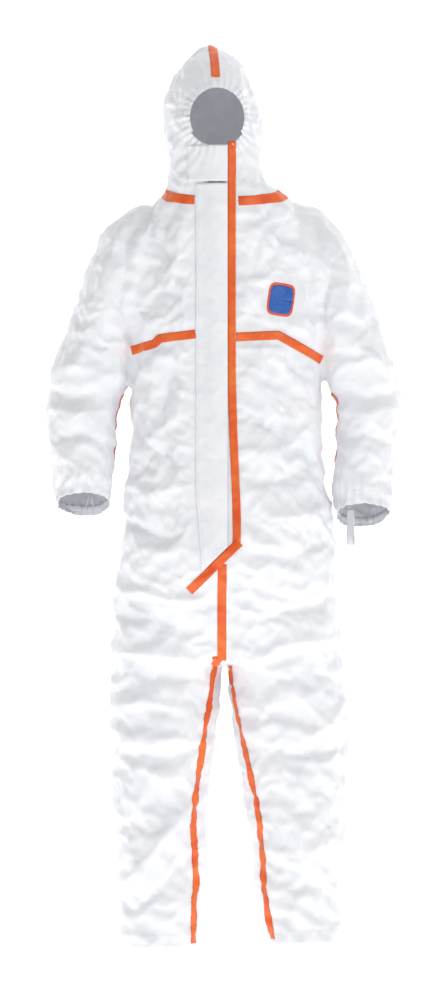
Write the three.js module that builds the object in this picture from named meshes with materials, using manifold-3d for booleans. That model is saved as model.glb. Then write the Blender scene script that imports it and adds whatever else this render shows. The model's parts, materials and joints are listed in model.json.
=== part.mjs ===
// Chemical protective coverall: hooded one-piece suit with a covered front zip and taped seams.
// Millimetres, +Z up, the front faces -Y. Left and right in the names are as seen from the front.
// The cloth is a plain closed wall, hollow inside and open at the face, the wrists and the ankles.

import * as THREE from "three";
import { mergeVertices } from "three/addons/utils/BufferGeometryUtils.js";
import Module from "manifold-3d";

// ---------------------------------------------------------------- driving dimensions

const WALL = 3;
const SEAM_GAP = 1;
const FIT_GAP = 2.5;
const TAPE_WIDTH = 17;
const FRONT_TAPE_WIDTH = 14;
const TAPE_LIFT = 0.5;
const TAPE_THICK = 1.5;

const CENTRE_X = -10;
const HOOD_SEAM_X = -22;
const SHOULDER_X = 185;
const ARMPIT_Z = 1062;

// Front line of the chest and belly, which the straight zip lies on.
const ZIP_LOW = { y: -150, z: 775 };
const ZIP_HIGH = { y: -115, z: 1545 };
const ZIP_X = -18;
const PLACKET_HALF = 18;

const ELBOW = { z: 1065, y: -4, bend: 45 };
const KNEE = { z: 430, y: 2, bend: 45 };
const DRUM_TURN = 52;
const DRUM_STEPS = 5;
const DRUM_EASE = 1.5;

const NECK_SEAM = { front: new THREE.Vector3(0, -115, 1447), tilt: 13 };
const THIGH_TOP_Z = 600;
const HEM_DEPTH = 26;
const CUFF_DEPTH = 26;
const CUFF_TILT = 22;

const FACE = { x: -17, z: 1612, halfWidth: 52, halfHeight: 57, bottomZ: 1556 };

// Height, left, right, front, back and squareness of each level section.
const frontLine = (z) =>
  ZIP_LOW.y + ((z - ZIP_LOW.z) * (ZIP_HIGH.y - ZIP_LOW.y)) / (ZIP_HIGH.z - ZIP_LOW.z);

const TORSO = [
  [552, -214, 219, -97, 104, 2.7],
  [600, -212, 216, -108, 112, 2.7],
  [673, -206, 209, -127, 120, 2.6],
  [760, -198, 204, frontLine(760), 126, 2.5],
  [850, -190, 195, frontLine(850), 122, 2.4],
  [940, -183, 183, frontLine(940), 114, 2.4],
  [1040, -179, 178, frontLine(1040), 110, 2.4],
  [1140, -181, 181, frontLine(1140), 118, 2.4],
  [1240, -180, 180, frontLine(1240), 124, 2.4],
  [1330, -172, 170, frontLine(1330), 120, 2.3],
  [1390, -160, 156, frontLine(1390), 108, 2.2],
  [1430, -142, 138, frontLine(1430), 96, 2.1],
  [1462, -121, 114, frontLine(1462), 86, 2.1],
  [1482, -108, 78, frontLine(1482), 82, 2.1],
];

const HOOD = [
  [1436, -112, 84, frontLine(1436), 82, 2.2],
  [1478, -112, 81, frontLine(1478), 84, 2.2],
  [1500, -106, 62, frontLine(1500), 90, 2.2],
  [1530, -106, 58, frontLine(1530), 98, 2.2],
  [1565, -111, 63, frontLine(1565), 110, 2.2],
  [1609, -115, 66, -118, 122, 2.2],
  [1645, -112, 61, -114, 122, 2.2],
  [1680, -102, 51, -101, 112, 2.1],
  [1708, -90, 37, -80, 92, 2.1],
  [1732, -71, 15, -52, 62, 2],
  [1748, -50, -13, -24, 28, 2],
  [1755, -40, -24, -8, 10, 2],
];

const UPPER_SLEEVE = {
  left: [
    [ELBOW.z - 2, -341, -213, -74, 66, 2],
    [1080, -341, -202, -76, 68, 2],
    [1104, -337, -180, -79, 72, 2],
    [1150, -326, -168, -83, 79, 2],
    [1200, -309, -160, -87, 85, 2],
    [1300, -274, -140, -86, 88, 2],
    [1345, -259, -122, -80, 84, 2],
    [1375, -244, -108, -72, 78, 2],
    [1404, -226, -98, -58, 64, 2],
    [1431, -190, -95, -34, 40, 2],
    [1444, -160, -108, -14, 20, 2],
  ],
  right: [
    [ELBOW.z - 2, 219, 335, -74, 66, 2],
    [1090, 208, 331, -76, 68, 2],
    [1126, 181, 323, -80, 74, 2],
    [1160, 170, 313, -84, 80, 2],
    [1200, 160, 298, -87, 85, 2],
    [1300, 138, 269, -86, 88, 2],
    [1345, 118, 247, -80, 84, 2],
    [1375, 104, 232, -72, 78, 2],
    [1404, 94, 213, -58, 64, 2],
    [1431, 91, 184, -34, 40, 2],
    [1444, 104, 156, -14, 20, 2],
  ],
};

const FOREARM = {
  left: [
    [806, -316, -240, -74, 4, 2],
    [840, -318, -238, -80, 14, 2],
    [866, -325, -230, -86, 24, 2],
    [907, -331, -227, -88, 36, 2],
    [965, -336, -222, -85, 49, 2],
    [1010, -342, -217, -80, 58, 2],
    [ELBOW.z - 1, -341, -213, -74, 66, 2],
  ],
  right: [
    [790, 228, 306, -74, 4, 2],
    [820, 226, 308, -80, 14, 2],
    [846, 219, 314, -86, 24, 2],
    [890, 215, 319, -88, 36, 2],
    [950, 217, 326, -85, 49, 2],
    [1000, 221, 331, -80, 58, 2],
    [ELBOW.z - 1, 219, 335, -74, 66, 2],
  ],
};

const THIGH = {
  left: [
    [KNEE.z - 10, -212, -22, -94, 98, 2.2],
    [KNEE.z, -213, -20, -94, 98, 2.2],
    [500, -215, -13, -96, 102, 2.3],
    [560, -212, -12, -98, 104, 2.4],
    [640, -204, -12, -112, 112, 2.5],
  ],
  right: [
    [KNEE.z - 10, 24, 226, -94, 98, 2.2],
    [KNEE.z, 21, 226, -94, 98, 2.2],
    [500, 10, 221, -96, 102, 2.3],
    [560, 8, 217, -98, 104, 2.4],
    [640, 8, 208, -112, 112, 2.5],
  ],
};

const SHIN = {
  left: [
    [0, -196, -58, -78, 86, 2.2],
    [60, -199, -50, -82, 90, 2.2],
    [190, -206, -44, -88, 96, 2.2],
    [310, -212, -37, -91, 98, 2.2],
    [KNEE.z - 1, -213, -20, -94, 98, 2.2],
  ],
  right: [
    [8, 84, 216, -78, 86, 2.2],
    [60, 74, 217, -82, 90, 2.2],
    [190, 59, 225, -88, 96, 2.2],
    [310, 41, 227, -91, 98, 2.2],
    [KNEE.z - 1, 21, 226, -94, 98, 2.2],
  ],
};

// Seam routes seen from the front: x and z.
const CHEST_SEAM = [
  [-260, 1128],
  [-184, 1158],
  [-132, 1178],
  [-59, 1186],
  [22, 1184],
  [101, 1184],
  [186, 1140],
  [260, 1112],
];
const FLAP_END_SEAM = [
  [21, 790],
  [24, 776],
  [-70, 692],
];
const INSEAM = {
  left: [
    [-17, 566],
    [-27, 507],
    [-29, 470],
    [-45, 390],
    [-57, 332],
    [-64, 244],
    [-61, 185],
    [-57, 127],
    [-61, 97],
    [-62, 4],
  ],
  right: [
    [11, 540],
    [15, 480],
    [28, 419],
    [42, 361],
    [55, 302],
    [65, 244],
    [68, 190],
    [73, 120],
    [80, 68],
    [92, 10],
  ],
};
const BADGE = { x: 106, z: 1255, width: 51, height: 64, corner: 14, turn: -8 };

// Storm flap and chin flap, in the placket's own frame: x across, y out of it, z along the zip.
const HINGE = { x: 21, y: -3.5 };
const FLAP_THICK = 1.5;
const STORM_SECTION = [
  [20.5, -3.5],
  [11, -6.7],
  [0, -7.4],
  [-12, -7.2],
  [-26, -4.4],
  [-40, -4.4],
];
const CHIN_SECTION = [
  [20.5, -3.5],
  [11, -6.7],
  [0, -7.4],
  [-12, -7.2],
  [-28, -4],
  [-42, 3],
  [-56, 12],
];
const STORM_SPAN = [-18, 706];
const CHIN_SPAN = [710, 780];
const ADHESIVE_WIDTH = 9;

const FINGER_LOOP = {
  width: 30,
  height: 68,
  thick: 1.6,
  left: { x: -264, y: -80, z: 873, turn: 0, strap: 9 },
  right: { x: 242, y: -74, z: 849, turn: 80, strap: 12 },
};

// ---------------------------------------------------------------- materials

const cloth = (color) => new THREE.MeshStandardMaterial({ color, roughness: 0.75, metalness: 0 });
const finish = {
  shell: () => cloth("#f4f5f7"),
  tape: () => new THREE.MeshStandardMaterial({ color: "#f5793a", roughness: 0.55, metalness: 0 }),
  elastic: () => cloth("#e9e9ea"),
  loop: () => cloth("#f1f2f3"),
  zipTape: () => cloth("#ececee"),
  zipPlastic: () => new THREE.MeshStandardMaterial({ color: "#f2f2f0", roughness: 0.35, metalness: 0 }),
  adhesive: () => new THREE.MeshStandardMaterial({ color: "#dfe3e2", roughness: 0.3, metalness: 0 }),
  badge: () => new THREE.MeshStandardMaterial({ color: "#2f62b0", roughness: 0.5, metalness: 0 }),
};

// ---------------------------------------------------------------- solids

const wasm = await Module();
wasm.setup();
const SIDES = { torso: 20, hood: 16, sleeve: 16, leg: 20 };

/** A closed geometry as a solid that can be joined and cut. */
function solid(geometry) {
  const bare = geometry.clone();
  bare.deleteAttribute("normal");
  bare.deleteAttribute("uv");
  const merged = mergeVertices(bare, 1e-4);
  return new wasm.Manifold(
    new wasm.Mesh({
      numProp: 3,
      vertProperties: new Float32Array(merged.attributes.position.array),
      triVerts: new Uint32Array(merged.index.array),
    }),
  );
}

/** A solid's surface as a plain geometry. */
function surface(body) {
  const mesh = body.getMesh();
  const geometry = new THREE.BufferGeometry();
  geometry.setAttribute("position", new THREE.BufferAttribute(new Float32Array(mesh.vertProperties), 3));
  geometry.setIndex(new THREE.BufferAttribute(new Uint32Array(mesh.triVerts), 1));
  return geometry;
}

const join = (bodies) => bodies.reduce((whole, body) => whole.add(body));

/** The biggest part of a cut solid, without the slivers that a crease leaves. */
const biggest = (body) =>
  body.decompose().reduce((best, part) => (part.volume() > best.volume() ? part : best));

/** Points of one level section, grown outwards by a distance. */
function section([z, left, right, front, back, power], grow, sides) {
  const points = [];
  const rounded = (value) => Math.sign(value) * Math.abs(value) ** (2 / power);
  for (let i = 0; i < sides; i += 1) {
    const turn = (2 * Math.PI * (i + 0.5)) / sides;
    points.push([
      (left + right) / 2 + ((right - left) / 2 + grow) * rounded(Math.cos(turn)),
      (front + back) / 2 + ((back - front) / 2 + grow) * rounded(Math.sin(turn)),
      z,
    ]);
  }
  return points;
}

/** A closed solid through a stack of rings, lowest first, with a fan at each end. */
function loft(rings) {
  const sides = rings[0].length;
  const points = rings.flat();
  const faces = [];
  const centre = (ring) => [0, 1, 2].map((k) => ring.reduce((sum, p) => sum + p[k], 0) / sides);
  const low = points.push(centre(rings[0])) - 1;
  const high = points.push(centre(rings[rings.length - 1])) - 1;
  const lastRing = (rings.length - 1) * sides;
  for (let i = 0; i < sides; i += 1) {
    const next = (i + 1) % sides;
    faces.push(low, next, i);
    faces.push(high, lastRing + i, lastRing + next);
    for (let row = 0; row < lastRing; row += sides) {
      faces.push(row + i, row + next, row + sides + next);
      faces.push(row + i, row + sides + next, row + sides + i);
    }
  }
  const geometry = new THREE.BufferGeometry();
  geometry.setAttribute("position", new THREE.Float32BufferAttribute(points.flat(), 3));
  geometry.setIndex(faces);
  return solid(geometry);
}

/** A stack of level sections, grown by a distance, with its ends moved along Z. */
function stack(stations, grow, sides, lowerBy = 0, raiseBy = 0) {
  const rings = stations.map((station, i) => {
    const shift = (i === 0 ? -lowerBy : 0) + (i === stations.length - 1 ? raiseBy : 0);
    return section([station[0] + shift, ...station.slice(1)], grow, sides);
  });
  return loft(rings);
}

/** A box between two corners. */
function block(low, high) {
  const size = high.map((value, k) => value - low[k]);
  const geometry = new THREE.BoxGeometry(...size);
  geometry.translate(...high.map((value, k) => (value + low[k]) / 2));
  return solid(geometry);
}

const FAR = 3000;

/** Everything on the side of a plane that its normal points to. */
function side(point, normal) {
  const geometry = new THREE.BoxGeometry(FAR, FAR, FAR);
  geometry.translate(0, 0, FAR / 2);
  const turn = new THREE.Quaternion().setFromUnitVectors(
    new THREE.Vector3(0, 0, 1),
    new THREE.Vector3(...normal).normalize(),
  );
  geometry.applyQuaternion(turn);
  geometry.translate(...point);
  return solid(geometry);
}

/** An outline of x and z points, extruded along Y. */
function prism(outline, near, far) {
  const shape = new THREE.Shape(outline.map(([x, z]) => new THREE.Vector2(x, z)));
  const geometry = new THREE.ExtrudeGeometry(shape, { depth: far - near, bevelEnabled: false });
  geometry.rotateX(Math.PI / 2);
  geometry.translate(0, far, 0);
  return solid(geometry);
}

/** Outline of a band of even width along an open path. */
function band(path, width) {
  const points = path.map(([x, z]) => new THREE.Vector2(x, z));
  const offset = (i, distance) => {
    const before = points[Math.max(i - 1, 0)];
    const after = points[Math.min(i + 1, points.length - 1)];
    const along = after.clone().sub(before).normalize();
    return [points[i].x - along.y * distance, points[i].y + along.x * distance];
  };
  const one = points.map((_, i) => offset(i, width / 2));
  const other = points.map((_, i) => offset(i, -width / 2));
  return [...one, ...other.reverse()];
}

/** The part of a path above or below a height, with a point added where it crosses. */
function clipPath(path, z, keepAbove) {
  const keep = (p) => (keepAbove ? p[1] >= z : p[1] <= z);
  const kept = [];
  path.forEach((point, i) => {
    const before = path[i - 1];
    if (before && keep(before) !== keep(point)) {
      const t = (z - before[1]) / (point[1] - before[1]);
      kept.push([before[0] + t * (point[0] - before[0]), z]);
    }
    if (keep(point)) kept.push(point);
  });
  return kept;
}

// ---------------------------------------------------------------- the whole garment

const SIDE_NAMES = ["left", "right"];

/** The trunk, hood, upper sleeves and thighs as one solid, grown by a distance. */
function trunk(grow, ends = 0) {
  return join([
    stack(TORSO, grow, SIDES.torso, grow, 0),
    stack(HOOD, grow, SIDES.hood, 0, grow / 2),
    ...SIDE_NAMES.map((name) => stack(UPPER_SLEEVE[name], grow, SIDES.sleeve, ends, grow / 2)),
    ...SIDE_NAMES.map((name) => stack(THIGH[name], grow, SIDES.leg, ends, 0)),
  ]);
}

const trunkOuter = trunk(0);
const trunkWall = trunkOuter.subtract(trunk(-WALL, 2));
const trunkSkin = trunk(TAPE_LIFT + TAPE_THICK).subtract(trunk(TAPE_LIFT, 2));
const trunkLining = trunk(-WALL - 0.5).subtract(trunk(-WALL - 2.5, 2));

const half = SEAM_GAP / 2;
const neckTilt = THREE.MathUtils.degToRad(NECK_SEAM.tilt);
const neckNormal = new THREE.Vector3(0, -Math.sin(neckTilt), Math.cos(neckTilt));
const neckPoint = (offset) => NECK_SEAM.front.clone().addScaledVector(neckNormal, offset).toArray();
const aboveNeck = side(neckPoint(half), neckNormal.toArray());
const belowNeck = side(neckPoint(-half), neckNormal.clone().negate().toArray());

const chestLine = (offset) => CHEST_SEAM.map(([x, z]) => [x, z + offset]);
const chestAbove = prism([...chestLine(half), [260, FAR], [-260, FAR]], -300, 300);
const chestBelow = prism([...chestLine(-half), [260, -10], [-260, -10]], -300, 300);
const betweenArmholes = join([
  block([-SHOULDER_X + half, -300, ARMPIT_Z - 1], [SHOULDER_X - half, 300, 2000]),
  block([-260, -300, 0], [260, 300, ARMPIT_Z - 1]),
]);
const outsideArmhole = {
  left: block([-500, -300, ARMPIT_Z - 1], [-SHOULDER_X - half, 300, 2000]),
  right: block([SHOULDER_X + half, -300, ARMPIT_Z - 1], [500, 300, 2000]),
};
const halfOf = (x) => ({
  left: block([-600, -400, -10], [x - half, 400, 2000]),
  right: block([x + half, -400, -10], [600, 400, 2000]),
});
const zipSlot = block(
  [ZIP_X - PLACKET_HALF, -300, ZIP_LOW.z - 4],
  [ZIP_X + PLACKET_HALF, -60, FACE.bottomZ + 20],
);

const faceOutline = (grow) => {
  const outline = [];
  const lowest = Math.asin((FACE.bottomZ - grow - FACE.z) / (FACE.halfHeight + grow));
  const turns = 22;
  for (let i = 0; i <= turns; i += 1) {
    const turn = lowest + (i / turns) * (Math.PI - 2 * lowest);
    outline.push([
      FACE.x + (FACE.halfWidth + grow) * Math.cos(turn) * (Math.sin(turn) < -0.6 ? 1.12 : 1),
      FACE.z + (FACE.halfHeight + grow) * Math.sin(turn),
    ]);
  }
  return outline;
};
const faceHole = (grow) => prism(faceOutline(grow), -300, -20);

/** Everything above the plane of a bent joint's rim, which clears the bending limb. */
function jointRim({ y, z, bend }, bendsTo) {
  const limit = THREE.MathUtils.degToRad(bend + 1);
  const level = side([0, y, z + half], [0, 0, 1]);
  const tilted = side([0, y, z + half], [0, -bendsTo * Math.sin(limit), Math.cos(limit)]);
  return level.intersect(tilted);
}

/**
 * A limb's round shoulder that turns inside the tube above it, as level sections. At each place
 * across the limb it is round about the joint's axis, so it clears the tube as it turns.
 */
function drumStations(stations, joint, grow) {
  const [, left, right, front, back, power] = stations[stations.length - 1];
  const narrow = WALL + FIT_GAP - grow;
  const middle = (left + right) / 2;
  const halfWidth = (right - left) / 2 - narrow;
  const radius = (back - front) / 2 - narrow;
  const drum = [];
  for (let i = 0; i <= DRUM_STEPS; i += 1) {
    const turn = (i / DRUM_STEPS) * THREE.MathUtils.degToRad(DRUM_TURN);
    const ease = i === 0 ? 0 : DRUM_EASE;
    const reach = (halfWidth - ease) * (1 - Math.sin(turn) ** power) ** (1 / power);
    const depth = (radius - ease) * Math.cos(turn);
    drum.push([
      joint.z - 1 + (i === 0 ? 0.01 : 0) + (radius - ease) * Math.sin(turn),
      middle - reach,
      middle + reach,
      joint.y - depth,
      joint.y + depth,
      i === 0 ? power : 2,
    ]);
  }
  return drum;
}

/** A lower limb: tube with a drum on top, as a hollow wall open at both ends. */
function limbWall(stations, joint, sides) {
  const outer = loft([
    ...stations.map((station) => section(station, 0, sides)),
    ...drumStations(stations, joint, 0).map((station) => section(station, 0, sides)),
  ]);
  const hollow = [...stations.map((station) => section(station, -WALL, sides))];
  hollow.pop();
  hollow[0] = section([stations[0][0] - 2, ...stations[0].slice(1)], -WALL, sides);
  const inside = drumStations(stations, joint, -WALL).map((station) => section(station, 0, sides));
  const last = inside[inside.length - 1];
  inside.push(last.map(([x, y, z]) => [x, y, z + 2 * WALL]));
  return outer.subtract(loft([...hollow, ...inside]));
}

// ---------------------------------------------------------------- the assembly

const suit = new THREE.Group();

/** Adds one named piece to a group. */
function piece(name, geometry, material, parent = suit) {
  const mesh = new THREE.Mesh(geometry, material);
  mesh.name = name;
  parent.add(mesh);
  return mesh;
}

const add = (name, body, material, parent) => piece(name, surface(body), material, parent);

// Hood: two halves, joined over the crown, with a gathered face opening.
const hoodWall = trunkWall.intersect(aboveNeck).subtract(faceHole(0)).subtract(zipSlot);
const hoodHalf = halfOf(HOOD_SEAM_X);
SIDE_NAMES.forEach((name) => add(`hood_${name}`, hoodWall.intersect(hoodHalf[name]), finish.shell()));
const faceRing = faceHole(9).subtract(faceHole(2));
const faceFront = block([-200, -300, FACE.bottomZ - 9], [200, -20, 1700]);
const faceBand = trunkLining.intersect(faceRing).intersect(faceFront).subtract(zipSlot);
add("face_elastic", faceBand, finish.elastic());

// Yoke: chest, shoulders and upper sleeves are cut in one piece on each side.
const trunkHalf = halfOf(CENTRE_X);
const yokeWall = trunkWall.intersect(belowNeck).intersect(chestAbove).subtract(zipSlot);
SIDE_NAMES.forEach((name) => {
  add(`yoke_${name}`, yokeWall.intersect(betweenArmholes).intersect(trunkHalf[name]), finish.shell());
});

// Body: one panel on each side wraps from the zip to the seat seam, down to the knee.
const bodyWall = trunkWall.intersect(betweenArmholes).intersect(chestBelow).subtract(zipSlot);
const waistUp = block([-300, -300, THIGH_TOP_Z + half], [300, 300, 1300]);
const hipDown = block([-300, -300, 300], [300, 300, THIGH_TOP_Z - half]);
const gussetZone = (grow) =>
  block([CENTRE_X - 8 - grow, -130, 540], [CENTRE_X + 24 + grow, 130, THIGH_TOP_Z - 6 + grow]);
const kneeRim = jointRim(KNEE, 1);
SIDE_NAMES.forEach((name) => {
  const panel = bodyWall.intersect(trunkHalf[name]);
  add(`body_${name}`, panel.intersect(waistUp), finish.shell());
  const thigh = panel.intersect(hipDown).intersect(kneeRim).subtract(gussetZone(SEAM_GAP));
  add(`thigh_${name}`, thigh, finish.shell());
});
add("crotch_gusset", bodyWall.intersect(gussetZone(0)), finish.shell());

// Elastic glued inside the back of the waist.
const waistBand = block([-130, 20, 1008], [110, 300, 1022]);
add("waist_elastic", trunkLining.intersect(waistBand), finish.elastic());

// Sleeves: upper sleeve, forearm with its elbow drum, gathered cuff with its elastic.
const elbowRim = jointRim(ELBOW, -1);
const CUFF_FRONT_Z = { left: 880, right: 858 };
const cuffTilt = THREE.MathUtils.degToRad(CUFF_TILT);
const cuffNormal = [0, -Math.sin(cuffTilt), -Math.cos(cuffTilt)];
const CUFF_FRONT_Y = -86;
const cuffPoint = (name, offset) => [
  0,
  CUFF_FRONT_Y - offset * cuffNormal[1],
  CUFF_FRONT_Z[name] - offset * cuffNormal[2],
];
const belowCuffLine = (name, offset) => side(cuffPoint(name, offset), cuffNormal);
const aboveCuffLine = (name, offset) => side(cuffPoint(name, offset), cuffNormal.map((value) => -value));
SIDE_NAMES.forEach((name) => {
  const sleeve = trunkWall.intersect(outsideArmhole[name]).intersect(elbowRim);
  add(`upper_sleeve_${name}`, sleeve, finish.shell());
  const limb = limbWall(FOREARM[name], ELBOW, SIDES.sleeve);
  add(`forearm_${name}`, limb.intersect(aboveCuffLine(name, CUFF_DEPTH + SEAM_GAP)), finish.shell());
  const cuff = limb.intersect(aboveCuffLine(name, 0)).intersect(belowCuffLine(name, CUFF_DEPTH));
  add(`cuff_${name}`, cuff, finish.shell());
  const lining = stack(FOREARM[name], -WALL - 0.5, SIDES.sleeve).subtract(
    stack(FOREARM[name], -WALL - 2.5, SIDES.sleeve, 2, 2),
  );
  const elastic = lining.intersect(aboveCuffLine(name, 6)).intersect(belowCuffLine(name, 18));
  add(`cuff_elastic_${name}`, elastic, finish.elastic());
});

// Shins and hems.
SIDE_NAMES.forEach((name) => {
  const limb = limbWall(SHIN[name], KNEE, SIDES.leg);
  const seamZ = SHIN[name][0][0] + HEM_DEPTH;
  const overSeam = block([-300, -300, seamZ + half], [300, 300, 700]);
  const underSeam = block([-300, -300, -10], [300, 300, seamZ - half]);
  add(`shin_${name}`, limb.intersect(overSeam), finish.shell());
  add(`hem_${name}`, limb.intersect(underSeam), finish.shell());
});

// Seam tapes on the trunk.
const tapeHalf = TAPE_WIDTH / 2;
const inFront = block([-400, -300, 0], [400, 0, 2000]);
const behind = block([-400, 0, 0], [400, 300, 2000]);
const onTrunk = (outline, near, far) => trunkSkin.intersect(prism(outline, near, far));
const tape = (name, body) => add(name, biggest(body), finish.tape());

const hoodTapeZone = block(
  [HOOD_SEAM_X - tapeHalf, -300, 1400],
  [HOOD_SEAM_X + tapeHalf, 300, 1900],
);
const aboveNeckTape = side(neckPoint(tapeHalf + half), neckNormal.toArray());
const faceAndBelow = block([-300, -300, 0], [300, -20, FACE.z]);
const hoodTape = trunkSkin.intersect(hoodTapeZone).intersect(aboveNeckTape);
tape("hood_tape", hoodTape.subtract(faceHole(2)).subtract(faceAndBelow));
const neckBand = side(neckPoint(tapeHalf), neckNormal.clone().negate().toArray()).intersect(
  side(neckPoint(-tapeHalf), neckNormal.toArray()),
);
const neckTape = trunkSkin.intersect(neckBand);
tape("neck_tape_left", neckTape.intersect(block([-300, -300, 0], [-62, 30, 2000])));
tape("neck_tape_right", neckTape.intersect(block([20.5, -300, 0], [300, 30, 2000])));
tape("neck_tape_back", neckTape.intersect(block([-300, 31, 0], [300, 300, 2000])));

const chestBand = band(CHEST_SEAM, TAPE_WIDTH);
const chestTape = onTrunk(chestBand, -300, 300).intersect(betweenArmholes);
const chestZones = {
  left: block([-300, -300, 0], [-62, 0, 2000]),
  right: block([20.5, -300, 0], [300, 0, 2000]),
  back: block([-300, 1, 0], [300, 300, 2000]),
};
Object.entries(chestZones).forEach(([name, zone]) => tape(`chest_tape_${name}`, chestTape.intersect(zone)));

const frontTapeX = ZIP_X + HINGE.x + 2;
const frontTapeZone = block(
  [frontTapeX, -300, FLAP_END_SEAM[0][1] + 7],
  [frontTapeX + FRONT_TAPE_WIDTH, -60, FACE.bottomZ - 4],
);
tape("front_tape", trunkSkin.intersect(frontTapeZone).subtract(faceHole(1)));
tape("flap_end_tape", onTrunk(band(FLAP_END_SEAM, TAPE_WIDTH), -300, -60));

const BACK_TAPE_X = CENTRE_X + 2;
const centreTape = (low, high) =>
  block([BACK_TAPE_X - tapeHalf, -300, low], [BACK_TAPE_X + tapeHalf, 300, high]);
const crotchTape = trunkSkin.intersect(centreTape(THIGH_TOP_Z - 4, 760)).intersect(inFront);
const flapEndSlope = FLAP_END_SEAM.slice(1).map(([x, z]) => [x, z - tapeHalf * 1.5 - SEAM_GAP]);
const [, flapEndRight, flapEndLeft] = FLAP_END_SEAM;
const underFlapEnd = prism([...flapEndSlope, [flapEndLeft[0], 0], [flapEndRight[0], 0]], -300, 0);
tape("crotch_tape", crotchTape.intersect(underFlapEnd));
const chestTapeGap = prism(band(CHEST_SEAM, TAPE_WIDTH + 2 * SEAM_GAP), 0, 300);
const backTape = trunkSkin.intersect(behind).intersect(centreTape(0, 2000)).subtract(chestTapeGap);
tape("seat_tape", backTape.intersect(chestBelow).intersect(block([-300, 0, 556], [300, 300, 1300])));
const belowNeckTape = side(neckPoint(-tapeHalf - SEAM_GAP), neckNormal.clone().negate().toArray());
tape("back_tape", backTape.intersect(chestAbove).intersect(belowNeckTape));

// Inseam tapes, split at the knee.
SIDE_NAMES.forEach((name) => {
  const thighPath = clipPath(INSEAM[name], KNEE.z + 2, true);
  tape(`inseam_tape_thigh_${name}`, onTrunk(band(thighPath, TAPE_WIDTH), -300, -8));
  const skin = stack(SHIN[name], TAPE_LIFT + TAPE_THICK, SIDES.leg).subtract(
    stack(SHIN[name], TAPE_LIFT, SIDES.leg, 2, 2),
  );
  const shinPath = clipPath(INSEAM[name], KNEE.z - 3, false);
  tape(`inseam_tape_shin_${name}`, skin.intersect(prism(band(shinPath, TAPE_WIDTH), -300, -8)));
});

// Sleeve tapes along the underside seam, split at the elbow.
const sleeveSeamY = ELBOW.y + 12;
SIDE_NAMES.forEach((name) => {
  const inner = name === "left" ? [-260, -SHOULDER_X - half] : [SHOULDER_X + half, 262];
  const strip = (low, high) =>
    block([inner[0], sleeveSeamY - tapeHalf, low], [inner[1], sleeveSeamY + tapeHalf, high]);
  tape(`sleeve_tape_upper_${name}`, trunkSkin.intersect(strip(ELBOW.z + 2, 1170)));
  const skin = stack(FOREARM[name], TAPE_LIFT + TAPE_THICK, SIDES.sleeve).subtract(
    stack(FOREARM[name], TAPE_LIFT, SIDES.sleeve, 2, 2),
  );
  const forearmTape = skin.intersect(strip(780, ELBOW.z - 3)).intersect(aboveCuffLine(name, 2));
  tape(`sleeve_tape_forearm_${name}`, forearmTape);
});

// Plain round-cornered badge on the wearer's left chest.
const badgeOutline = [];
const badgeCorners = [
  [1, 1],
  [-1, 1],
  [-1, -1],
  [1, -1],
];
badgeCorners.forEach(([across, up], quarter) => {
  for (let i = 0; i <= 3; i += 1) {
    const turn = ((quarter + i / 3) * Math.PI) / 2;
    const x = across * (BADGE.width / 2 - BADGE.corner) + BADGE.corner * Math.cos(turn);
    const z = up * (BADGE.height / 2 - BADGE.corner) + BADGE.corner * Math.sin(turn);
    const lean = THREE.MathUtils.degToRad(BADGE.turn);
    badgeOutline.push([
      BADGE.x + x * Math.cos(lean) - z * Math.sin(lean),
      BADGE.z + x * Math.sin(lean) + z * Math.cos(lean),
    ]);
  }
});
add("chest_badge", onTrunk(badgeOutline, -300, 0), finish.badge());

// Placket: everything of the zip and its flaps lies along one straight, leaning line.
const placket = new THREE.Group();
placket.position.set(ZIP_X, ZIP_LOW.y + WALL / 2, ZIP_LOW.z);
placket.rotation.x = -Math.atan2(ZIP_HIGH.y - ZIP_LOW.y, ZIP_HIGH.z - ZIP_LOW.z);
suit.add(placket);
const ZIP_LENGTH = Math.hypot(ZIP_HIGH.y - ZIP_LOW.y, ZIP_HIGH.z - ZIP_LOW.z);

const bar = (low, high) => {
  const geometry = new THREE.BoxGeometry(...high.map((value, k) => value - low[k]));
  geometry.translate(...high.map((value, k) => (value + low[k]) / 2));
  return geometry;
};
const COIL = { inner: 0.8, outer: 3, thick: 2.4, end: 4.4 };
[-1, 1].forEach((sign) => {
  const name = sign < 0 ? "left" : "right";
  const across = (from, to) => [Math.min(sign * from, sign * to), Math.max(sign * from, sign * to)];
  const [tapeLow, tapeHigh] = across(COIL.outer + 0.3, PLACKET_HALF - 0.7);
  const zipTape = bar([tapeLow, -0.5, 0], [tapeHigh, 0.5, ZIP_LENGTH]);
  piece(`zip_tape_${name}`, zipTape, finish.zipTape(), placket);
  const [coilLow, coilHigh] = across(COIL.inner, COIL.outer);
  const coil = bar([coilLow, -COIL.thick / 2, COIL.end], [coilHigh, COIL.thick / 2, ZIP_LENGTH - COIL.end]);
  piece(`zip_coil_${name}`, coil, finish.zipPlastic(), placket);
});
const stop = (z) => bar([-COIL.outer, -1.5, z], [COIL.outer, 1.5, z + 3]);
piece("zip_bottom_stop", stop(1), finish.zipPlastic(), placket);
piece("zip_top_stop", stop(ZIP_LENGTH - 4), finish.zipPlastic(), placket);

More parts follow.
